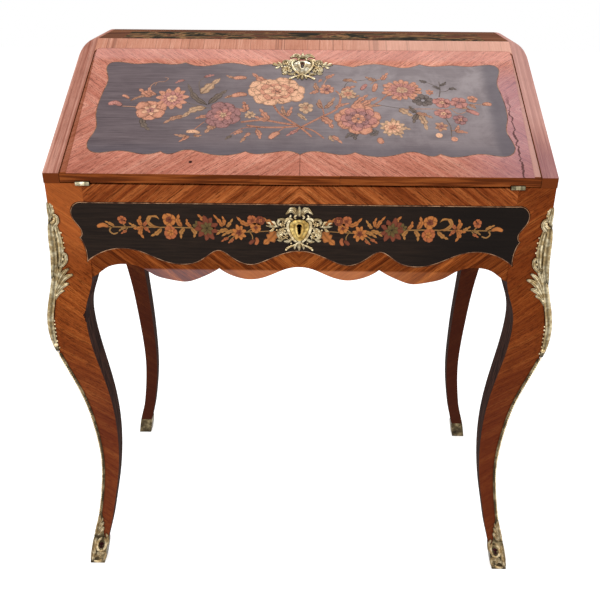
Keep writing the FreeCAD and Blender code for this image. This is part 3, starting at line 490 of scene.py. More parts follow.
# Each leaf of the mount: its spine as distances from the corner and heights in turn, its half
# widths, crown, stand, rib and tip.
mount_leaves = (
    ((0, 450, 0, 495, 0, 540, 0, 600), (2.4, 6, 7, 6), 5.6, 0.6, 0.7, 0),
    ((0, 572, 0, 604, 0, 636, 0, 660), (3.6, 5.4, 5.4, 4), 6.6, 1, 0.8, 0),
    ((4, 536, 8, 547, 13, 552, 18, 553), (2.4, 3.4, 3.2, 1), 2.6, 0.2, 0.4, 1.6),
    ((4, 541, 10, 555, 17, 562, 24, 564), (2.6, 4, 3.9, 1.2), 2.9, 0.4, 0.5, 2.2),
    ((4, 547, 11, 564, 18, 574, 29, 579), (2.8, 4.4, 4.6, 1.4), 3.4, 0.5, 0.5, 3),
    ((4, 551, 8, 569, 14, 581, 22, 588), (2.8, 4, 4, 1.4), 3, 0.5, 0.5, 2.2),
    ((3, 556, 5.5, 574, 8, 585, 12, 594), (2.8, 3.6, 3.2, 1.2), 2.8, 0.3, 0.5, 1.2),
    ((6, 590, 11, 592, 16, 598, 17, 608, 12, 613), (1.8, 3.4, 3.6, 3, 1.2), 3.2, 0.8, 0.4, 1.6),
    ((9, 604, 12, 614, 13, 622, 11, 630), (1.8, 2.6, 2.4, 1), 2.4, 0.4, 0.3, 1.4),
    ((6.5, 588, 8, 612, 8.5, 634, 6, 657), (3, 6.6, 6.4, 4), 3.6, 0.5, 1, 0),
    ((1, 650, 6, 656, 11, 662, 10.5, 670, 4.5, 672), (3, 4, 3.8, 3.2, 2), 3.6, 0.9, 0.5, 1),
    ((2, 659, 5.5, 662, 8.5, 665), (2, 2.8, 1.8), 3.2, 2.2, 0, 0.6),
    ((0, 662, 0, 674, 0, 684, 0, 691), (3, 4.2, 3, 0.8), 2.4, 0.5, 0.4, 0),
    ((2.4, 666, 5.5, 676, 5, 684, 2.8, 690), (2.2, 3.2, 2.4, 0.6), 2, 0.3, 0.3, 0),
)
# Beads of the mount: distance from the corner, height and radius.
mount_pearls = (
    (12.5, 602, 2.2), (15.5, 620, 1.6), (15.5, 628, 1.6), (15, 636, 1.6), (14, 644, 1.5), (5, 596, 1.4),
    (7.5, 666, 3), (7.5, 678, 1.6), (7, 685, 1.4), (6.6, 546, 2), (5.8, 505, 1.5), (5.8, 499, 1.7),
    (5.6, 492, 1.9), (5.4, 485, 1.7), (5, 478, 1.5), (0.8, 462, 4.2), (3.8, 469, 2), (3.6, 456, 1.6),
)
string_low, string_high, string_gap = 100, 451, 4.4
bead_radius, bead_stand, pearl_stand = 1.7, 1.9, 0.6
for side_name, corner in corners.items():
    bm = begin()
    chased(bm, corner, mount_leaves)
    if side_name == "right":
        bmesh.ops.reverse_faces(bm, faces=bm.faces[:])
    settle_cast(bm, f"chased_mount_{side_name}", "case", f"corner_mount_{side_name}")
    bm = begin()
    for across, height, radius in mount_pearls:
        for turned in (1, -1):
            pearl(bm, corner, turned * across, height, pearl_stand, radius)
    height = string_low
    while height < string_high:
        pearl(bm, corner, 0.0, height, bead_stand, bead_radius, 1)
        height += string_gap
    settle(bm, f"corner_beads_{side_name}", chased_brass, "gilt_brass", "case")


# Aprons: boards between the posts, with the scalloped skirt under the drawer and the hinge
# rail above it. The front's veneer meets in the middle in a V, and its lobes carry a paler painted sheen.
apron_figure = (0.0075, 0.36, 0.36)
skirt = wood("tulipwood_skirt", ((98, 44, 16), (143, 71, 29), (180, 100, 46)),
             ((0, 0, -far_off), front_turn, -50, apron_figure, True), streak=0.65)
# Painted sheen on the skirt's lobes, greyer on the left and fainter towards the right.
lobes = skirt.both(skirt.spread(skirt.z, 0.5885, 0.5845),
                   skirt.spread(skirt.maths("ABSOLUTE", skirt.x), 0.272, 0.262),
                   skirt.spread(skirt.x, 0.08, 0.20, 1.0, 0.3))
lobe_sheen = skirt.mix(skirt.spread(skirt.x, -0.15, -0.07), (81, 79, 86), (158, 98, 68))
skirt.lay(lobes, lobe_sheen, "SCREEN")
clad(skirt, "front_skirt")

rail = wood("tulipwood_rail", ((124, 58, 26), (166, 86, 40), (198, 116, 62)),
            ((0, 0, -far_off), front_turn, 52, apron_figure, True), streak=0.8)
clad(rail, "hinge_rail")

sides = wood("tulipwood_sides", ((112, 56, 30), (150, 82, 46), (180, 112, 72)),
             ((0, 0, 0.66), front_turn, 50, apron_figure, True),
             ((0, 0, 0.66), side_turn, 50, apron_figure, True))
clad(sides, *left_and_right("side_apron"), "back_apron")


# Upper case: two cheeks with rounded shoulders, a crossbanded strip above the fall, the top
# board with its dark panel of flowers, and a plain oak back and inside.
slope = math.radians(26.5)
slope_turn = (slope, 0, 0)
fall_foot = Vector((0.0, -0.1978, 0.735))
# The sloping faces' pink tones are partly a painted sky sheen; the upright side faces are multiplied back
# towards orange.
cheeks = wood("tulipwood_cheeks", ((160, 100, 84), (194, 134, 116), (220, 166, 148)),
              ((0, -far_off, 0), slope_turn, 0, (0.0055, 0.42, 0.42), False),
              ((0, 0, 0.76), side_turn, 50, apron_figure, True), streak=0.35, figure=0.15, mottle=0.3)
cheek_facing = cheeks.facing()[0]
right_cheek = cheeks.spread(cheeks.x, 0.0, 0.3)
# The right cheek is paler higher up, and carries painted shade lower down.
cheeks.lay(cheeks.both(right_cheek, cheeks.spread(cheeks.z, 0.745, 0.80), 0.4), (226, 182, 176))
cheeks.lay(cheeks.both(right_cheek, cheeks.spread(cheeks.z, 0.790, 0.745, 0.0, 0.5)), (150, 112, 124))
cheeks.fade(cheeks.maths("ABSOLUTE", cheek_facing), 0.5, 0.9, 0.9, (224, 172, 132), "MULTIPLY")
front_edge = cheeks.both(cheeks.spread(cheeks.y, -0.1960, -0.1968), cheeks.spread(cheeks.z, 0.7352, 0.7346))
cheeks.lay(front_edge, (112, 54, 24))
cheeks.fade(cheeks.both(cheek_facing, cheeks.x), -0.1, -0.3, 1.0, (120, 66, 34))
clad(cheeks, *left_and_right("cheek"))

# The strip's pale pink tones are partly a painted sky sheen.
top = wood("tulipwood_top", ((200, 134, 108), (226, 160, 136), (240, 188, 164)),
           ((-far_off, 0, 0), slope_turn, 0, (0.0024, 0.06, 0.06), False), streak=0.22, figure=0.2,
           mottle=0.25)
bay = {"Vector": top.stretched((27, 0, 0)), "Scale": 1.0}
bay_tone = top.node("SeparateColor", (top.node("TexVoronoi", bay, 1),))
top.fade(bay_tone, 0.0, 1.0, 0.25, (176, 112, 86))
top.fade(top.node("TexVoronoi", bay, feature="DISTANCE_TO_EDGE"), 0.014, 0.005, 0.5, (120, 68, 52))
top.fade(top.x, 0.0, 0.2, 0.45, (246, 198, 180))
border = top.ramp(top.noise(top.stretched((4, 160, 160)), 1.0, 4.0), (0.38, (70, 38, 24)),
                  (0.5, (104, 62, 42)), (0.62, (140, 90, 62)))
sprays = top.ramp(top.noise(top.stretched((13, 34, 0)), 1.0, 3.0, 0.55, 1.6), (0.43, (36, 32, 23)),
                  (0.48, (72, 60, 40)), (0.52, (156, 116, 76)), (0.56, (96, 56, 40)))
in_panel = top.both(top.spread(top.maths("ABSOLUTE", top.x), 0.306, 0.304), top.spread(top.y, 0.095, 0.097),
                    top.spread(top.y, 0.182, 0.180))
top.lay(top.spread(top.facing()[2], 0.965, 0.985), top.mix(in_panel, border, sprays))
clad(top, "top_board")

inside_figure = (0.006, 0.3, 0.3)
oak = wood("oiled_oak", ((128, 90, 54), (160, 120, 78), (184, 146, 102)),
           ((0, 0, 0), front_turn, 90, inside_figure, False), rough=0.6, coat=0.0, streak=0.3)
clad(oak, "back_panel", "drawer_sides", "drawer_back", "drawer_bottom", *left_and_right("drawer_runner"),
     "writing_floor", *left_and_right("nest_drawer_tray"), "nest_drawer_tray_middle")
inside = wood("tulipwood_inside", ((120, 62, 32), (158, 92, 54), (186, 120, 78)),
              ((0, 0, 0), front_turn, 90, inside_figure, False), streak=0.3)
clad(inside, "strike_rail", "nest_sides", "nest_shelf", "nest_uprights", "nest_partitions",
     *left_and_right("nest_drawer_front"), "nest_drawer_front_middle")


# Writing leather: a skiver laid in the writing floor and in the fall's inner face, dark
# green gone brown, with a tooled gold line all round.
def tooled_leather(name, low, high, centre=(0, 0, 0), turn=(0, 0, 0)):
    """Aged leather with a worn gold line inside its edge."""
    made = Finish(name, 0.55)
    worn = made.noise(made.point, 9.0, 5.0, 0.65)
    made.tint(made.ramp(worn, (0.3, (44, 50, 34)), (0.5, (62, 66, 42)), (0.72, (96, 84, 52))))
    across, along = made.parts(made.seen_from(centre, turn))[:2]
    from_side = made.maths("SUBTRACT", leather_half_width, made.maths("ABSOLUTE", across))
    from_end = made.maths("MINIMUM", made.maths("SUBTRACT", along, low), made.maths("SUBTRACT", high, along))
    margin = made.maths("MINIMUM", from_side, from_end)
    for line_in, line_half in ((0.012, 0.0011), (0.017, 0.0005)):
        off_line = made.maths("ABSOLUTE", made.maths("SUBTRACT", margin, line_in))
        gold = made.spread(off_line, line_half + 0.0003, line_half, 0.0, 0.8)
        made.lay(made.both(gold, made.spread(worn, 0.66, 0.5)), (196, 158, 86))
    pebbles = made.node("TexVoronoi", {"Vector": made.point, "Scale": 620.0}, feature="SMOOTH_F1")
    made.relief(pebbles, 0.35, 0.0005)
    return made


leather_half_width = 0.3092
clad(tooled_leather("floor_skiver", -0.1468, 0.07703), "floor_leather")
clad(tooled_leather("fall_skiver", 0.0388, 0.242, fall_foot, slope_turn), "fall_leather")


# Fall: the sloping flap, in a quarter-matched lozenge of tulipwood, pink partly from a painted
# sky sheen, round a shaped panel of harewood gone slate grey. A moulding is worked along each side.
lozenge_height = 0.150
fall_middle = fall_foot + Vector((0, math.cos(slope), math.sin(slope))) * lozenge_height
fall = wood("tulipwood_fall", ((204, 126, 105), (236, 161, 137), (251, 192, 168)),
            (fall_middle, slope_turn, -48, (0.006, 0.22, 0.22), True), streak=0.75, figure=0.22, mottle=0.4)
fall_flat = fall.seen_from(fall_foot, slope_turn)
fall_across, fall_along, fall_out = fall.parts(fall_flat)
fall.fade(fall.maths("ABSOLUTE", fall_across), 0.0009, 0.0004, 0.55, (92, 50, 40))
fall.lay(fall.both(fall.spread(fall_across, 0.20, 0.33), fall.spread(fall_along, 0.29, 0.20), 0.55),
         (172, 138, 154))
# Painted shade: darker towards the foot of the fall.
fall.fade(fall_along, 0.075, 0.012, 0.45, (206, 184, 178), "MULTIPLY")
# The sunk moulding: dark orange on the left, with a painted highlight on the right.
sunk = fall.both(fall.spread(fall_out, -0.0008, -0.0022, 0.0, 0.65), fall.spread(fall_along, 0.0005, 0.0030))
fall.lay(sunk, fall.mix(fall.spread(fall_across, -0.1, 0.1), (150, 84, 44), (216, 170, 152)))
# Painted shade on the left of the fall.
fall.fade(fall_across, -0.12, -0.33, 0.5, (222, 206, 208), "MULTIPLY")
# Painted sky sheen: pinker and paler on the upper fall.
fall.fade(fall_along, 0.262, 0.276, 0.30, (232, 176, 170))

jagged = fall.noise(fall.stretched((0, 60, 0), fall_flat), 1.0, 3.0, 0.6)
crack_middle = fall.spread(jagged, 0.3, 0.7, 0.3165, 0.3215)
crack_width = fall.noise(fall.stretched((0, 31, 0), fall_flat, (5, 0, 0)), 1.0, 2.0)
crack = fall.both(
    fall.maths("LESS_THAN", fall.maths("ABSOLUTE", fall.maths("SUBTRACT", fall_across, crack_middle)),
               fall.spread(crack_width, 0.35, 0.65, 0.0005, 0.0020)),
    fall.spread(fall_along, 0.200, 0.140, 0.0, 0.75))
knot_place = (-0.158, 0.026, 0.0)
knot = fall.maths("ADD", fall.away_from(knot_place, fall_flat), fall.both(jagged, 0.006))
flaws = fall.maths("MAXIMUM", crack, fall.spread(knot, 0.0068, 0.0052))
fall.lay(fall.both(flaws, fall.spread(fall_out, -0.009, -0.006)), (60, 36, 34))
lip_colour = fall.ramp(fall.noise(fall.stretched((11, 200, 300)), 1.0, 5.0), (0.42, (92, 43, 18)),
                       (0.5, (122, 60, 26)), (0.60, (146, 78, 36)))
fall.fade(fall.z, 0.7352, 0.7348, 1.0, lip_colour)
clad(fall, "fall_board")


def dark_panel(name, tones, turn, rough):
    """Dyed and faded wood, nearly plain, with level streaks and rubbed clouds."""
    made = Finish(name, rough, coat=0.03)
    figure = made.noise(made.seen_from((0, 0, 0), turn, (0.055, 0.0030, 0.01)), 1.0, 6.0, 0.68, 0.2)
    dark, middle, light = tones
    made.tint(made.ramp(figure, (0.28, dark), (0.5, middle), (0.74, light)))
    clouds = made.noise(made.stretched((1, 1.9, 1.9)), 11.0, 4.0, 0.6)
    made.fade(clouds, 0.5, 0.74, 0.5, light)
    made.feed("Roughness", made.spread(clouds, 0.3, 0.75, rough - 0.05, rough + 0.12))
    made.relief(figure, 0.10, 0.0003)
    return made


slate = dark_panel("slate_harewood", ((84, 73, 77), (104, 91, 94), (124, 110, 112)), slope_turn, 0.4)
slate_across, slate_along = slate.parts(slate.seen_from(fall_foot, slope_turn))[:2]
# Painted sky sheen, patchy, paler towards the right and higher up the panel.
sheen_haze = slate.spread(slate.noise(slate.point, 17.0, 5.0, 0.7, 0.4), 0.36, 0.64, 0.62, 1.18)
slate.lay(slate.both(slate.spread(slate_across, -0.34, 0.24, 0.0, 0.74),
                     slate.spread(slate_along, 0.03, 0.18, 0.45, 1.0), sheen_haze), (168, 157, 158))
# Painted shade along the right margin and the bottom of the panel.
slate.lay(slate.maths("MAXIMUM", slate.spread(slate_across, 0.278, 0.298, 0.0, 0.6),
                      slate.spread(slate_along, 0.075, 0.045, 0.0, 0.45)), (92, 86, 94))
clad(slate, "fall_cartouche")


# Stringing: a boxwood line, thinner than a match, let in round both dark panels. It is glued
# into a groove that a gauge has cut.
string_width = 0.0010
string_stand = 0.00006
boxwood = Finish("boxwood_line", 0.42, coat=0.15)
boxwood.tint(boxwood.ramp(boxwood.noise(boxwood.point, 90.0, 4.0, 0.6), (0.38, (84, 50, 34)),
                          (0.52, (150, 106, 76)), (0.66, (196, 150, 114))))


def stringing(name, panel, outward, body):
    """A line round the edge of a panel's face, set in from a merged copy of the panel itself."""
    bm = bmesh.new()
    bm.from_mesh(nodes[panel].data)
    bmesh.ops.remove_doubles(bm, verts=bm.verts[:], dist=0.000002)
    bm.normal_update()
    reach = max(vertex.co.dot(outward) for vertex in bm.verts)
    hidden = [face for face in bm.faces
              if face.normal.dot(outward) < 0.99 or face.calc_center_median().dot(outward) < reach - 0.0001]
    bmesh.ops.delete(bm, geom=hidden, context="FACES")
    rim = set(bmesh.ops.inset_region(bm, faces=bm.faces[:], thickness=string_width, use_boundary=True,
                                     use_even_offset=True)["faces"])
    bmesh.ops.delete(bm, geom=[face for face in bm.faces if face not in rim], context="FACES")
    bmesh.ops.translate(bm, verts=bm.verts[:], vec=outward * string_stand)
    settle(bm, name, boxwood, "dark_marquetry", body, smooth=False)


stringing("fall_stringing", "fall_cartouche", Vector((0.0, -math.sin(slope), math.cos(slope))), "fall")


# Fall marquetry: a spray of flowers sawn from stained fruitwoods, shaded in hot sand, and let
# into the slate panel. Two crossed stems in the middle carry it out to both sides.
def fruitwood(name, rough, coat, dark_share, dark):
    """Stained fruitwood: the tone of each sawn piece under darker grain."""
    made = Finish(name, rough, coat=coat)
    made.tint(made.node("Attribute", output="Color", attribute_name="tone"))
    grain = made.noise(made.stretched((260, 700, 700)), 1.0, 4.0, 0.65)
    made.fade(grain, 0.52, 0.72, dark_share, dark, "MULTIPLY")
    return made


inlay = fruitwood("stained_fruitwood", 0.46, 0.12, 0.35, (120, 84, 66))
engraved = inlay.maths("SUBTRACT", inlay.noise(inlay.point, 120.0, 2.0, 0.5, 1.2), 0.5)
inlay.fade(inlay.maths("ABSOLUTE", engraved), 0.030, 0.008, 0.6, (112, 78, 66), "MULTIPLY")
woods = {
    "peach": (246, 190, 154), "orange": (222, 156, 128), "pink": (206, 142, 130), "rose": (172, 124, 120),
    "yellow": (218, 176, 142), "olive": (134, 116, 104), "buff": (204, 152, 124), "dim": (126, 112, 106),
    "stem": (200, 138, 112),
}
petal_shapes = {
    "round": (0.42, 0.85, 1.0, 0.92, 0.5), "point": (0.35, 0.9, 1.0, 0.62, 0.05),
    "strap": (0.6, 0.9, 1.0, 0.95, 0.45), "leaf": (0.15, 0.8, 1.0, 0.65, 0.04),
    "jagged": (0.15, 0.85, 1.0, 0.7, 0.04), "line": (1.0, 1.0, 1.0, 1.0, 0.7),
}
inlay_ruffles = {"leaf": 0.55, "jagged": 0.7}
lowest_layer, layer_step, top_layer = 0.08, 0.05, 5


def on_fall(x, along, stand):
    """A place on the fall's face, in mm from the middle of the slope's foot."""
    return fall_foot + Vector((x, along * math.cos(slope) - stand * math.sin(slope),
                               along * math.sin(slope) + stand * math.cos(slope))) / 1000


def inlaid(bm, place, tone, half, shape, layer, spine):
    """One sawn piece of the marquetry: a stem, a leaf or a petal."""
    widths = [half * share for share in petal_shapes[shape]]
    look = dict(rows=18, columns=6, edge=0.55, foot=0.4)
    if shape == "line":
        look = dict(rows=16, columns=2, edge=0.3, foot=0.1)
    leaf(bm, place, spine, widths, paint(*woods[tone]), stand=lowest_layer + layer * layer_step,
         ruffle=inlay_ruffles.get(shape, 0.0), vein=0.4 if shape in inlay_ruffles else 0.0, **look)


def disc(bm, place, x, y, radius, tone, layer):
    """A round eye or berry."""
    made = bmesh.ops.create_circle(bm, cap_ends=True, segments=14, radius=radius)["verts"]
    for vertex in made:
        vertex.co = place(x + vertex.co.x, y + vertex.co.y, lowest_layer + layer * layer_step)
        vertex[bm.verts.layers.float_color["tone"]] = paint(*woods[tone])


def flower(bm, place, x, y, squash, turn, layer, *rings):
    """A flower seen from above. A ring is a count of petals, two radii, a half width, a wood and a shape."""
    centre = Vector((x, y))
    for ring_index, (count, inner, outer, half, tone, shape) in enumerate(rings):
        for step in range(count):
            angle = turn + math.tau * (step + 0.5 * (ring_index % 2)) / count
            ahead = Vector((math.cos(angle), math.sin(angle) * squash))
            aside = Vector((-ahead.y, ahead.x)) * (0.06 * outer * math.sin(step * 2.4 + ring_index))
            reach = outer * (1 + 0.07 * math.sin(step * 3.7 + ring_index * 1.3))
            middle = centre + ahead * (inner + reach) / 2 + aside
            inlaid(bm, place, tone, half, shape, layer + ring_index + 0.2 * (step % 4),
                   (centre + ahead * inner, middle, centre + ahead * reach))


def spray(bm, place, side, stems, leaves, flowers):
    """Stems, the leaves over them and the flowers over both, mirrored when the side is -1."""
    for tone, half, *spine in stems:
        inlaid(bm, place, tone, half, "line", 0, points_of(spine, side))
    for number, (tone, half, shape, *spine) in enumerate(leaves):
        inlaid(bm, place, tone, half, shape, 1 + 0.2 * (number % 4), points_of(spine, side))
    for (x, y), squash, turn, layer, *rings in flowers:
        flower(bm, place, side * x, y, squash, turn if side > 0 else math.pi - turn, layer, *rings)


# A stem is written as its wood, half width and spine, and a leaf has its shape before the
# spine. A flower is its place, squash, turn, layer and rings.
fall_stems = (
    ("stem", 1.7, -43, 155, -35, 138, -24, 125, -5, 108, 13, 87, 16, 82),
    ("stem", 2, -91, 114, -59, 119, -26, 112, -5, 108), ("stem", 1.9, -82, 107, -60, 103, -30, 103, -2, 106),
    ("stem", 1.8, -16, 88, 1, 104, 35, 131, 54, 146, 61, 176, 53, 191), ("stem", 1.4, 1, 104, 19, 96, 35, 79),
    ("stem", 1, 35, 131, 33, 146, 29, 167), ("buff", 0.9, -276, 149, -254, 147, -238, 140),
    ("buff", 0.7, -238, 187, -238, 200, -231, 208, -232, 199),
    ("buff", 0.6, -232, 199, -229, 209, -218, 210, -213, 218, -219, 221),
    ("olive", 0.8, -180, 160, -160, 152, -140, 146), ("olive", 0.7, -158, 182, -163, 208, -155, 222),
    ("stem", 0.8, -146, 114, -157, 100, -162, 92), ("stem", 0.8, -61, 103, -85, 101, -105, 86),
    ("stem", 0.7, -23, 104, -30, 97, -36, 90), ("stem", 0.7, -66, 104, -66, 97, -64, 92),
    ("stem", 1.2, 134, 182, 123, 168, 112, 158, 100, 148),
    ("buff", 0.8, 150, 147, 190, 149, 229, 149, 258, 160, 284, 159),
    ("dim", 0.8, 214, 178, 217, 196, 217, 216), ("dim", 0.6, 216, 190, 226, 192, 232, 198),
    ("dim", 0.6, 216, 200, 206, 208, 197, 214), ("olive", 0.8, 219, 128, 225, 107, 224, 86),
    ("buff", 0.7, 224, 100, 234, 98, 240, 96), ("buff", 0.7, 229, 149, 240, 138, 252, 143),
    ("buff", 0.7, 39, 190, 34, 204, 40, 222), ("dim", 0.6, 66, 196, 72, 212, 86, 216, 106, 220),
    ("dim", 0.6, 112, 160, 140, 152, 152, 150), ("buff", 0.7, 108, 208, 118, 218, 127, 222),
)
fall_leaves = (
    ("pink", 5.5, "round", -277, 150, -288, 157, -298, 153),
    ("orange", 3, "round", -268, 167, -274, 173, -280, 175),
    ("buff", 2.6, "leaf", -266, 161, -252, 172, -229, 176),
    ("orange", 6, "jagged", -234, 171, -245, 181, -256, 192),
    ("orange", 4.5, "leaf", -226, 176, -238, 184, -240, 196),
    ("olive", 5, "jagged", -242, 124, -237, 106, -226, 93),
    ("olive", 5, "leaf", -145, 153, -166, 172, -181, 206),
    ("yellow", 8, "jagged", -158, 180, -147, 197, -130, 220),
    ("olive", 6, "leaf", -144, 155, -131, 174, -117, 191),
    ("pink", 3, "leaf", -186, 214, -194, 212, -201, 206),
    ("pink", 3.2, "leaf", -157, 222, -148, 226, -140, 228),
    ("yellow", 6.5, "jagged", -146, 146, -164, 143, -181, 123),
    ("buff", 4.5, "jagged", -176, 127, -193, 122, -208, 109),
    ("orange", 4, "leaf", -140, 127, -150, 126, -161, 121),
    ("buff", 6, "jagged", -126, 106, -135, 102, -143, 88),
    ("peach", 4.2, "round", -150, 88, -160, 92, -171, 91),
    ("buff", 3.2, "leaf", -168, 82, -178, 82, -189, 85),
    ("orange", 3.2, "leaf", -165, 82, -172, 76, -180, 68), ("buff", 3, "leaf", -160, 84, -153, 82, -147, 84),
    ("orange", 4, "leaf", -84, 139, -92, 142, -101, 146),
    ("orange", 5, "jagged", -83, 140, -86, 151, -90, 163),
    ("orange", 5.5, "round", -85, 179, -97, 180, -109, 175),
    ("buff", 3, "leaf", -108, 176, -114, 174, -120, 170),
    ("orange", 4.8, "round", -88, 221, -98, 222, -109, 220),
    ("buff", 3, "leaf", -107, 221, -114, 223, -122, 228),
    ("orange", 6, "jagged", -52, 208, -66, 218, -80, 234),
    ("orange", 5, "jagged", -48, 119, -56, 132, -64, 146),
    ("orange", 4.4, "jagged", -50, 118, -60, 121, -71, 128),
    ("orange", 4, "leaf", -22, 127, -18, 138, -14, 152), ("buff", 4, "leaf", -23, 129, -28, 140, -29, 154),
    ("orange", 3.4, "leaf", -86, 94, -93, 91, -100, 85), ("olive", 3, "leaf", -102, 83, -107, 80, -112, 74),
    ("orange", 3.4, "leaf", -75, 90, -79, 86, -84, 80), ("buff", 3, "leaf", -82, 80, -85, 75, -89, 68),
    ("orange", 4.4, "leaf", -67, 98, -62, 88, -60, 76), ("orange", 5.2, "round", -31, 91, -39, 87, -46, 77),
    ("pink", 3.6, "leaf", -3, 98, -12, 92, -22, 83), ("yellow", 3.6, "leaf", -6, 136, 2, 127, 9, 119),
    ("buff", 4.2, "leaf", 33, 147, 27, 157, 28, 170), ("buff", 4.2, "leaf", 35, 147, 44, 158, 52, 176),
    ("orange", 6.5, "jagged", 30, 127, 41, 118, 48, 101), ("orange", 3.6, "leaf", 51, 149, 61, 156, 75, 161),
    ("orange", 4, "leaf", 27, 191, 20, 187, 12, 183), ("buff", 4.4, "leaf", 26, 192, 22, 200, 21, 211),
    ("orange", 4, "jagged", 37, 222, 44, 227, 52, 233), ("orange", 2.6, "leaf", 30, 220, 29, 216, 26, 212),
    ("buff", 4, "jagged", 64, 216, 75, 218, 88, 211), ("buff", 4, "jagged", 119, 216, 109, 221, 100, 227),
    ("orange", 4.4, "jagged", 126, 218, 131, 227, 137, 238),
    ("pink", 3.8, "round", 93, 193, 97, 200, 102, 208),
    ("orange", 4.2, "round", 112, 189, 115, 199, 117, 210),
    ("orange", 4.6, "jagged", 62, 189, 72, 197, 85, 203), ("buff", 3.8, "jagged", 74, 177, 82, 177, 91, 180),
    ("orange", 5, "jagged", 79, 150, 92, 170, 104, 182),
    ("orange", 5.4, "jagged", 84, 150, 100, 162, 118, 176), ("buff", 4, "leaf", 92, 148, 104, 154, 124, 156),
    ("yellow", 3.6, "jagged", 148, 104, 156, 104, 165, 101),
    ("yellow", 3.4, "jagged", 142, 96, 147, 91, 151, 82), ("orange", 4, "leaf", 45, 84, 52, 80, 62, 68),
    ("yellow", 3, "leaf", 46, 86, 44, 80, 50, 72), ("orange", 5, "round", 119, 82, 118, 76, 121, 69),
    ("dim", 5, "jagged", 85, 94, 80, 86, 82, 76), ("dim", 4, "jagged", 82, 94, 73, 88, 66, 80),
    ("yellow", 6, "jagged", 150, 149, 158, 142, 170, 131),
    ("buff", 4.4, "jagged", 174, 137, 186, 136, 201, 127),
    ("yellow", 5.4, "jagged", 180, 134, 186, 120, 189, 99),
    ("olive", 4.4, "jagged", 178, 137, 173, 127, 170, 115),
    ("olive", 4, "jagged", 176, 139, 170, 146, 166, 156),
    ("orange", 4.6, "round", 279, 160, 286, 162, 293, 160),
    ("pink", 4.6, "round", 252, 146, 261, 143, 271, 136),
    ("orange", 3.4, "leaf", 231, 97, 235, 104, 237, 112), ("orange", 3.4, "leaf", 231, 96, 240, 97, 250, 94),
    ("buff", 3.4, "leaf", 258, 161, 264, 156, 268, 150), ("buff", 3, "leaf", 244, 152, 252, 152, 258, 148),
    ("dim", 3, "leaf", 217, 196, 211, 202, 205, 203), ("dim", 3, "leaf", 217, 205, 224, 210, 228, 216),
    ("dim", 3.4, "jagged", 231, 196, 237, 199, 243, 196),
    ("dim", 3.4, "jagged", 198, 214, 191, 216, 186, 220),
)
fall_flowers = (
    ((-231, 140), 0.88, 0.5, 2, (6, 3, 25, 11.5, "orange", "round"), (5, 3, 14, 4.5, "peach", "point"),
     (5, 1, 8, 2.6, "pink", "point")),
    ((-201, 168), 1.05, 0.2, 2, (11, 6, 27, 6.4, "orange", "point"), (11, 4, 18, 4.6, "pink", "point"),
     (7, 1, 8, 2.8, "peach", "round")),
    ((-119, 130), 1.12, 0.3, 2, (7, 7, 27, 12, "rose", "round"), (7, 5, 20, 8.5, "rose", "round"),
     (6, 2, 13, 5, "pink", "round"), (5, 0, 6, 2.4, "yellow", "point")),
    ((-40, 188), 0.74, 0.1, 2, (10, 14, 45, 13, "peach", "round"), (9, 12, 36, 11, "peach", "round"),
     (8, 8, 27, 9, "orange", "round"), (7, 4, 18, 6.5, "peach", "round"), (5, 1, 9, 4, "orange", "round")),
    ((-78, 131), 1, 0.2, 2, (7, 1, 9, 3.4, "yellow", "point")),
    ((7, 149), 1.1, 0.5, 2, (6, 2, 12, 4.8, "yellow", "round"), (5, 0, 5, 1.8, "buff", "point")),
    ((39, 194), 1, 0.3, 2, (7, 2, 12, 4.4, "orange", "round"), (5, 0, 5, 2, "rose", "round")),
    ((72, 183), 0.9, 0.1, 2, (8, 3, 14, 4.2, "yellow", "point"), (6, 0, 7, 2.4, "orange", "round")),
    ((87, 124), 0.98, 0.25, 2, (9, 12, 35, 11.5, "orange", "round"), (8, 9, 27, 9.5, "pink", "round"),
     (7, 5, 19, 7, "rose", "round"), (6, 2, 11, 4.4, "orange", "round")),
    ((157, 194), 0.8, 0.1, 2, (17, 9, 31, 4.6, "orange", "strap"), (15, 7, 21, 3.2, "pink", "strap"),
     (9, 0, 9, 2.8, "yellow", "round")),
    ((138, 105), 1, 0.4, 2, (11, 5, 20, 5, "yellow", "point"), (9, 2, 13, 3.8, "peach", "round"),
     (6, 0, 6, 2.4, "orange", "round")),
    ((188, 169), 0.9, 0.2, 1, (8, 3, 16, 5, "dim", "round")),
    ((109, 93), 1, 0.2, 1, (6, 1, 8, 3.4, "dim", "round")),
    ((217, 164), 0.85, 0.35, 2, (5, 2, 14, 7, "pink", "round"), (5, 0, 5, 1.8, "peach", "point")),
    ((243, 164), 1.1, 0.8, 2, (5, 2, 13, 6.6, "pink", "round"), (5, 0, 5, 1.8, "rose", "point")),
    ((265, 173), 1, 0.1, 2, (5, 1, 8, 4, "orange", "round")),
    ((217, 138), 0.85, 0.6, 2, (5, 2, 13, 6.6, "pink", "round"), (5, 0, 5, 1.8, "peach", "point")),
    ((241, 124), 1, 0.1, 2, (5, 2, 11, 5.4, "rose", "round"), (4, 0, 4, 1.6, "orange", "point")),
    ((211, 108), 1, 0.3, 2, (6, 1, 11, 4, "buff", "point"), (4, 0, 4, 1.6, "rose", "round")),
    ((200, 189), 1, 0.5, 2, (6, 1, 7, 2.6, "orange", "point")),
)
bm = begin()
spray(bm, on_fall, 1, fall_stems, fall_leaves, fall_flowers)
for x, along, radius, tone in ((206, 88, 5.2, "peach"), (228, 80, 5.0, "orange"), (157, 194, 4.0, "buff"),
                               (-201, 168, 2.6, "rose")):
    disc(bm, on_fall, x, along, radius, tone, top_layer)
settle(bm, "fall_marquetry", inlay, "dark_marquetry", "fall", smooth=False)


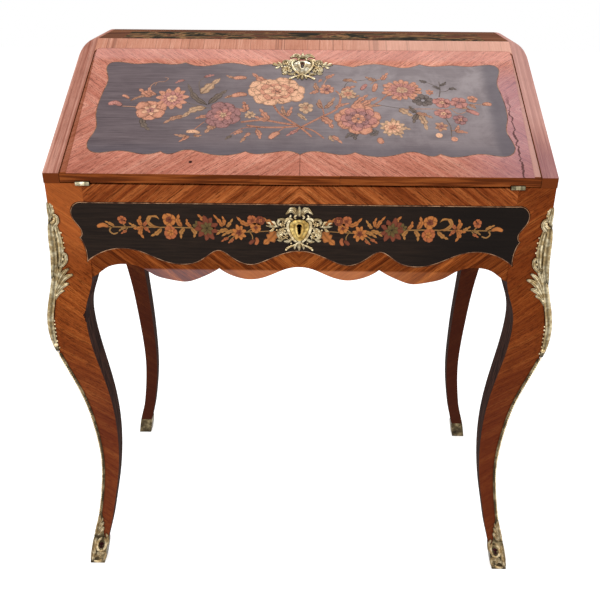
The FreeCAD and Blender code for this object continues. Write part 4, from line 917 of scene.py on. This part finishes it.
# Drawer: its front is the shaped dark panel of the apron, of ebonised wood under worn varnish,
# and the box behind it is plain oak.
ebony = dark_panel("ebonised_front", ((28, 21, 18), (38, 29, 24), (50, 38, 31)), front_turn, 0.34)
ebony.fade(ebony.x, 0.12, 0.26, 0.7, (20, 16, 14))
clad(ebony, "drawer_front")


# Ironwork and small brass: locks, bolts and folding stays of filed steel, hinges and the
# small drawers' knobs of cast brass.
def metal_finish(name, tones, rough, scratches=260.0):
    """Worn metal: bright on the worn places, dull between."""
    made = Finish(name, rough, metal=1.0)
    dull, plain, bright = tones
    made.tint(made.ramp(made.noise(made.point, 70.0, 5.0, 0.65), (0.32, dull), (0.5, plain), (0.68, bright)))
    scratch = made.noise(made.point, scratches)
    made.feed("Roughness", made.spread(scratch, 0.3, 0.7, rough - 0.08, rough + 0.12))
    made.relief(scratch, 0.12, 0.0003)
    return made


steel = metal_finish("filed_steel", ((92, 88, 82), (132, 128, 120), (168, 164, 156)), 0.38)
clad(steel, "fall_lock_case", "fall_lock_bolt", "drawer_lock_case", "drawer_lock_bolt", "stay_rear_arms",
     "stay_front_arms", "stay_cheek_plates", "stay_fall_brackets", "hinge_pins")
brass = metal_finish("hinge_brass", ((120, 108, 80), (184, 172, 138), (244, 234, 208)), 0.3, 900.0)
clad(brass, "hinge_leaves_moving", *left_and_right("nest_drawer_knob"), "nest_drawer_knob_middle")
worn_brass = metal_finish("worn_hinge_brass", ((64, 58, 42), (116, 108, 84), (176, 168, 142)), 0.36, 900.0)
clad(worn_brass, "hinge_leaves_fixed")
gilt = metal_finish("gilt_brass", ((120, 98, 58), (190, 168, 116), (238, 224, 178)), 0.34)
clad(gilt, *left_and_right("corner_mount"), "drawer_escutcheon", "fall_escutcheon")
# A dark copy of the brass, painted shade, for the leg beads' strip and the sabots.
brass_in_shade = metal_finish("brass_in_painted_shade", ((38, 30, 20), (80, 68, 48), (148, 132, 98)), 0.42, 420.0)
clad(brass_in_shade, *left_and_right("leg_bead", "sabot_front", "sabot_back"))


# Rubbed edges: hands and cloths have worn the sharp edges of the outer boards down by about
# half a millimetre.
for name in ("top_board", "fall_board", "hinge_rail", "front_skirt", "drawer_front", "back_apron",
             *left_and_right("cheek", "side_apron")):
    weld = nodes[name].modifiers.new("joined", "WELD")
    weld.merge_threshold = 0.00001
    edges = nodes[name].modifiers.new("rubbed_edges", "BEVEL")
    edges.width = 0.0006
    edges.segments = 2
    edges.limit_method = "ANGLE"
    edges.angle_limit = math.radians(40)
    edges.harden_normals = False


# Drawer stringing: the same boxwood line as the fall's, let in round the edge of the drawer's
# dark front.
stringing("drawer_stringing", "drawer_front", Vector((0.0, -1.0, 0.0)), "drawer")


# Drawer marquetry: one long garland of small flowers on a level stem, the same on both sides
# of the escutcheon, in warmer woods than the fall's because less light has reached them.
drawer_inlay = fruitwood("warm_fruitwood", 0.42, 0.15, 0.4, (120, 80, 56))
woods.update({
    "amber": (196, 120, 62), "honey": (190, 130, 70), "russet": (128, 66, 44), "moss": (106, 86, 48),
    "coral": (184, 104, 62), "straw": (168, 122, 70),
})


def on_drawer(x, height, stand):
    """A place on the drawer's face, in mm."""
    return Vector((x, corner_y - stand, height)) / 1000


garland_stems = (
    ("straw", 0.9, -282, 654, -260, 654, -239, 654, -202, 654, -160, 654, -123, 650, -81, 648, -44, 650),
    ("straw", 1.2, -276, 655, -280, 648, -275, 643, -268, 645),
    ("straw", 0.8, -256, 655, -260, 660, -260, 664), ("straw", 0.7, -252, 654, -256, 649, -262, 645),
    ("straw", 0.7, -89, 648, -100, 643, -110, 636), ("straw", 0.7, -92, 645, -98, 639, -104, 633),
    ("straw", 0.7, -73, 648, -69, 641, -70, 633), ("straw", 0.8, -76, 649, -68, 655, -62, 663),
)
garland_leaves = (
    ("amber", 3.4, "round", -281, 654, -289, 657, -298, 654),
    ("honey", 2.6, "leaf", -272, 655, -278, 659, -286, 663),
    ("straw", 2.4, "leaf", -254, 654, -260, 652, -267, 647),
    ("coral", 2.4, "leaf", -254, 648, -258, 647, -264, 643),
    ("honey", 2.6, "leaf", -239, 654, -244, 656, -251, 661),
    ("amber", 3.6, "leaf", -231, 656, -235, 663, -232, 672),
    ("amber", 3.4, "leaf", -229, 655, -236, 652, -245, 652),
    ("amber", 3.6, "leaf", -231, 653, -235, 646, -230, 636),
    ("coral", 3, "leaf", -229, 654, -225, 651, -220, 645),
    ("coral", 3, "leaf", -230, 656, -226, 660, -223, 666),
    ("honey", 3, "leaf", -203, 655, -214, 655, -222, 662, -219, 670, -210, 671, -205, 666),
    ("honey", 3.4, "leaf", -202, 653, -210, 645, -220, 640),
    ("amber", 4, "leaf", -172, 655, -178, 664, -176, 675),
    ("amber", 3, "leaf", -158, 655, -164, 660, -165, 668),
    ("honey", 3.4, "leaf", -168, 653, -174, 647, -175, 636),
    ("honey", 3.4, "leaf", -160, 653, -154, 647, -156, 638),
    ("amber", 3.4, "leaf", -137, 664, -142, 668, -149, 675),
    ("amber", 3, "leaf", -113, 655, -117, 664, -126, 675),
    ("amber", 2.8, "leaf", -113, 657, -110, 664, -113, 673),
    ("honey", 2.8, "leaf", -107, 655, -103, 660, -97, 669),
    ("honey", 3.4, "leaf", -104, 651, -113, 650, -123, 643),
    ("honey", 3.2, "leaf", -96, 650, -104, 648, -115, 641),
    ("coral", 2.4, "leaf", -104, 638, -109, 637, -116, 632),
    ("coral", 2.2, "leaf", -97, 638, -100, 634, -106, 630),
    ("amber", 3.6, "leaf", -72, 659, -82, 662, -92, 672),
    ("amber", 4, "jagged", -36, 661, -44, 664, -56, 671),
    ("amber", 8, "jagged", -34, 650, -41, 640, -53, 629),
    ("russet", 3, "round", -66, 636, -70, 633, -74, 629),
    ("coral", 2.8, "round", -64, 640, -62, 634, -65, 628),
)
garland_flowers = (
    ((-260, 665), 1, 0.3, 2, (5, 1, 6.5, 3.4, "coral", "round"), (4, 0, 2.4, 1, "russet", "round")),
    ((-191, 666), 1, 0.5, 2, (6, 2, 10, 5, "amber", "round"), (5, 0, 5, 2.2, "russet", "round")),
    ((-190, 646), 1.05, 0.1, 2, (6, 2, 10, 5, "coral", "round"), (5, 0, 5, 2, "amber", "round")),
    ((-136, 653), 1.1, 0.4, 2, (9, 2, 18, 5, "russet", "point"), (7, 1, 10, 3.4, "moss", "point")),
    ((-149, 656), 1, 0.1, 0, (7, 1, 9, 3.2, "moss", "point"), (4, 0, 3, 1.4, "russet", "round")),
    ((-89, 647), 1.1, 0.3, 2, (8, 1, 11.5, 3.6, "amber", "point"), (5, 0, 4.5, 1.8, "russet", "round")),
    ((-69, 666), 1, 0.2, 2, (6, 1, 8, 3.8, "coral", "round"), (4, 0, 3, 1.4, "russet", "round")),
    ((-64, 655), 1, 0.7, 2, (6, 1, 8, 3.8, "amber", "round"), (4, 0, 3, 1.4, "russet", "round")),
    ((-57, 666), 1, 0.1, 2, (6, 1, 7, 3.4, "russet", "round"), (4, 0, 3, 1.4, "coral", "round")),
)
bm = begin()
for side in (1, -1):
    spray(bm, on_drawer, side, garland_stems, garland_leaves, garland_flowers)
settle(bm, "drawer_marquetry", drawer_inlay, "dark_marquetry", "drawer", smooth=False)


# Escutcheons: pierced and chased gilt brass round both keyholes. A shield stands under a
# crest of leaves, between sprigs of flowers that end in points, over two crossed stems.
keyhole_eye, keyhole_drop, keyhole_half, keyhole_rise = 3.2, 7.5, 1.5, 4.3
shield_steps, shield_turns, shield_rays = 5, 48, 12
shield_outline = ((0, 15), (7, 14.5), (15, 10), (17, 4), (15, -5), (11, -14), (6, -20), (0, -22))
# Painted shade and highlight on each ring of the shield, from the keyhole out.
shield_light_and_shade = (0.12, 1.0, 0.38, 1.0, 0.8, 0.12)
shield_stand, shield_dome, lip_rise = 1.0, 2.8, 1.0
flower_stand, bead_on_crest = 2.4, 1.6
# Leaves as on the corner mounts, measured from the keyhole. A flower is its place, reach and
# count of petals, and a bead is its place and radius.
crest_leaves = (
    ((0, 19, 0, 27, 0, 35), (2.6, 3.6, 0.8), 2.6, 1.4, 0.4, 0.6),
    ((4, 21, 11, 29, 20, 22), (2.2, 4.2, 0.9), 2.4, 1, 0.5, 1),
    ((3, 20, 7, 30, 14, 32), (1.6, 3, 0.7), 2.2, 0.8, 0.4, 1),
    ((13, 9, 15, 14, 12, 21), (1.4, 1.9, 1.3), 2, 0.8, 0, 0),
    ((5, 15, 7, 18, 3, 22), (1.4, 1.9, 1.3), 2, 1, 0, 0),
    ((11, 13, 16, 10, 17, 2, 14, -7, 9, -16, 3, -22), (1.2, 2.4, 2.6, 2.4, 2.2, 1.2), 2.2, 2.2, 0, 0),
    ((9, 13, 14, 16, 19, 14, 21, 9), (1.4, 2.4, 2.4, 1), 2.4, 1.6, 0, 0.6),
    ((16, 9, 23, 14, 30, 13, 31, 7, 26, 5), (1.6, 2.6, 2.8, 2.2, 1.2), 2.6, 0.8, 0.3, 0.4),
    ((17, 1, 24, 0, 31, -6, 30, -14, 23, -17), (1.6, 2.2, 2.6, 2.4, 1.2), 2.4, 0.8, 0.3, 0.4),
    ((30, 3, 40, 3, 49, 4), (1.8, 2.4, 0.5), 2.2, 0.6, 0.3, 0.8),
    ((34, 4, 37, 9, 41, 11), (1.2, 2.4, 0.5), 1.8, 0.4, 0, 0.8),
    ((36, 2, 40, -3, 44, -4), (1.2, 2.4, 0.5), 1.8, 0.4, 0, 0.8),
    ((41, 4, 44, 8, 48, 9), (1, 1.9, 0.5), 1.6, 0.4, 0, 0.6),
    ((9, -15, 16, -20, 23, -20), (1.8, 3.2, 0.8), 2.2, 0.6, 0.3, 0.8),
    ((22, -15, 28, -19, 33, -18), (1.4, 2.7, 0.6), 2, 0.4, 0.3, 0.8),
    ((14, -6, 19, -9, 20, -15), (1.4, 2.5, 0.8), 2, 0.4, 0.3, 0.8),
    ((-4, -18, 6, -25, 13, -28, 19, -32), (1.3, 1.6, 1.9, 2.1), 2.2, 1.6, 0, 0),
    ((2, -22, 6, -27, 7, -33), (1.4, 2.6, 0.8), 2, 0.6, 0.3, 0.6),
    ((0, -20, 0, -28, 0, -35), (2.2, 3.2, 0.8), 2.4, 0.8, 0.4, 0.6),
)
crest_flowers = ((25, -5, 6.2, 6), (24, 7, 4.6, 5), (28, -12, 4.2, 5), (20, -13, 4.0, 5))
crest_beads = ((8, 27, 1.3), (15, 26, 1.3), (33, -2, 1.6), (34, 4, 1.4), (12, -23, 1.4), (5, -26, 1.3),
               (19, 1, 1.4), (19.5, -33, 1.8), (27, 6, 1.6))


def keyhole_reach(angle):
    """How far the keyhole's edge lies from its middle in a direction."""
    across, rise = abs(math.cos(angle)), math.sin(angle)
    end = keyhole_rise if rise > 0 else keyhole_drop
    reach = min(keyhole_half / max(across, 0.001), end / max(abs(rise), 0.001))
    inside = (rise * keyhole_rise) ** 2 - keyhole_rise ** 2 + keyhole_eye ** 2
    return max(reach, rise * keyhole_rise + math.sqrt(inside)) if inside > 0 and rise > 0 else reach


def shield_reach(angle):
    """How far the shield's edge lies from the keyhole's middle in a direction."""
    ahead = Vector((abs(math.cos(angle)), math.sin(angle)))
    for start, end in zip(shield_outline, shield_outline[1:]):
        start, edge = Vector(start), Vector(end) - Vector(start)
        cross = ahead.x * edge.y - ahead.y * edge.x
        if abs(cross) > 0.0001:
            reach = (start.x * edge.y - start.y * edge.x) / cross
            along = (start.x * ahead.y - start.y * ahead.x) / cross
            if reach > 0 and -0.001 <= along <= 1.001:
                return reach
    return shield_outline[0][1]


def petals_of(x, y, outer, count):
    """The petals of a small cast flower."""
    for petal in range(count):
        angle = math.tau * (petal + 0.3) / count
        ahead = Vector((math.cos(angle), math.sin(angle))) * outer
        spine = [part for share in (0.12, 0.6, 1.0) for part in Vector((x, y)) + ahead * share]
        yield spine, (0.16 * outer, 0.34 * outer, 0.2 * outer), 1.6, 1.4, 0.0, 0.6


def escutcheon(name, place, shield_tone, body, *replaced):
    """The whole mount round one keyhole, laid out from the keyhole's middle."""
    bm = begin()
    tone = bm.verts.layers.float_color["tone"]
    rings = []
    for turn in range(shield_turns):
        angle = math.tau * turn / shield_turns
        near, far = keyhole_reach(angle), shield_reach(angle)
        ring = []
        for step in range(shield_steps + 1):
            share = step / shield_steps
            reach = near + (far - near) * share
            stand = shield_stand + shield_dome * math.sin(math.pi * min(1.0, 0.25 + share * 0.75))
            stand += lip_rise if step == 1 else 0.0
            vertex = bm.verts.new(place(reach * math.cos(angle), reach * math.sin(angle), stand))
            # Painted shade between the shield's ribs.
            rib_shade = 0.76 + 0.24 * math.cos(shield_rays * angle) if step > 2 else 1.0
            vertex[tone] = [part * shield_light_and_shade[step] * rib_shade for part in shield_tone[:3]] + [1.0]
            ring.append(vertex)
        rings.append(ring)
    for ring, after in zip(rings, rings[1:] + rings[:1]):
        for step in range(shield_steps):
            bm.faces.new((ring[step], ring[step + 1], after[step + 1], after[step]))
    chased(bm, place, crest_leaves)
    for x, height, outer, count in crest_flowers:
        for side in (1, -1):
            chased(bm, place, petals_of(side * x, height, outer, count), both=False)
    settle_cast(bm, name, body, *replaced)
    bm = begin()
    for side in (1, -1):
        for x, height, outer, count in crest_flowers:
            pearl(bm, place, side * x, height, flower_stand, 0.24 * outer)
        for x, height, radius in crest_beads:
            pearl(bm, place, side * x, height, bead_on_crest, radius)
    settle(bm, name + "_beads", chased_brass, "gilt_brass", body)


drawer_keyhole, fall_keyhole = 654.5, 251.0
escutcheon("drawer_chased_escutcheon", lambda x, height, stand: on_drawer(x, drawer_keyhole + height, stand),
           paint(255, 222, 140), "drawer", "drawer_escutcheon")
escutcheon("fall_chased_escutcheon", lambda x, height, stand: on_fall(x, fall_keyhole + height, stand),
           paint(255, 244, 216), "fall", "fall_escutcheon")


# Sabots: each front foot stands in a cast shoe with an oval frame, scrolls at its sole and a
# plume of leaves that runs up the corner.
frame_middle, frame_height, frame_half, frame_rise, frame_steps = 14.5, 38, 8.2, 13.5, 10
sabot_frame = []
for step in range(frame_steps + 1):
    angle = math.tau * step / frame_steps
    sabot_frame += [frame_middle + frame_half * math.sin(angle), frame_height + frame_rise * math.cos(angle)]
sabot_eye = ((14.5, 28, 14.5, 38, 14.5, 48), (3, 6.5, 3), 0.5, 2, 0, 0)
sabot_leaves = (
    ((0, 55, 0, 70, 0, 84, 0, 97), (4.6, 5.6, 4.4, 1), 2.2, 1.8, 0.6, 0),
    ((4, 56, 9, 66, 12, 74), (2.6, 4, 1), 2.2, 1.8, 0.4, 1.4),
    ((3, 66, 7, 76, 9.5, 83), (2.2, 3.4, 0.9), 2, 1.8, 0.4, 1.2),
    ((2, 76, 5, 85, 6.5, 91), (1.8, 2.6, 0.7), 1.8, 1.8, 0.3, 1),
    (sabot_frame, (2.4, 2.6, 2.4, 2.6, 2.4), 2, 2, 0, 0),
    ((2, 3, 2.5, 16, 3.5, 32, 2.5, 52), (3, 3.4, 3, 2.2), 2, 1.8, 0.5, 0),
    ((3, 5, 8, 3, 14, 4, 19, 9), (2, 3, 3, 1.4), 3, 1.8, 0, 0.6),
    ((5, 12, 9, 16, 14, 15, 16, 10), (1.8, 2.8, 2.6, 1.2), 2.4, 1.8, 0.4, 0.6),
    ((7, 22, 13, 19, 19, 20, 23, 25), (2, 3.2, 3, 1.2), 2, 1.8, 0.4, 0.6),
    ((19, 4, 23, 9, 24, 17, 22, 25), (2, 3.2, 2.8, 1.2), 2, 1.8, 0.4, 0.4),
    ((22, 34, 25, 42, 23, 52, 18, 60), (1.8, 2.8, 2.4, 0.8), 1.8, 1.8, 0.3, 0.6),
)
for side_name, corner in corners.items():
    bm = begin()
    chased(bm, corner, (sabot_eye,), tone=paint(62, 30, 34))
    chased(bm, corner, sabot_leaves, tone=paint(236, 214, 172))
    if side_name == "right":
        bmesh.ops.reverse_faces(bm, faces=bm.faces[:])
    settle(bm, f"sabot_relief_{side_name}", chased_brass, "gilt_brass", "case")
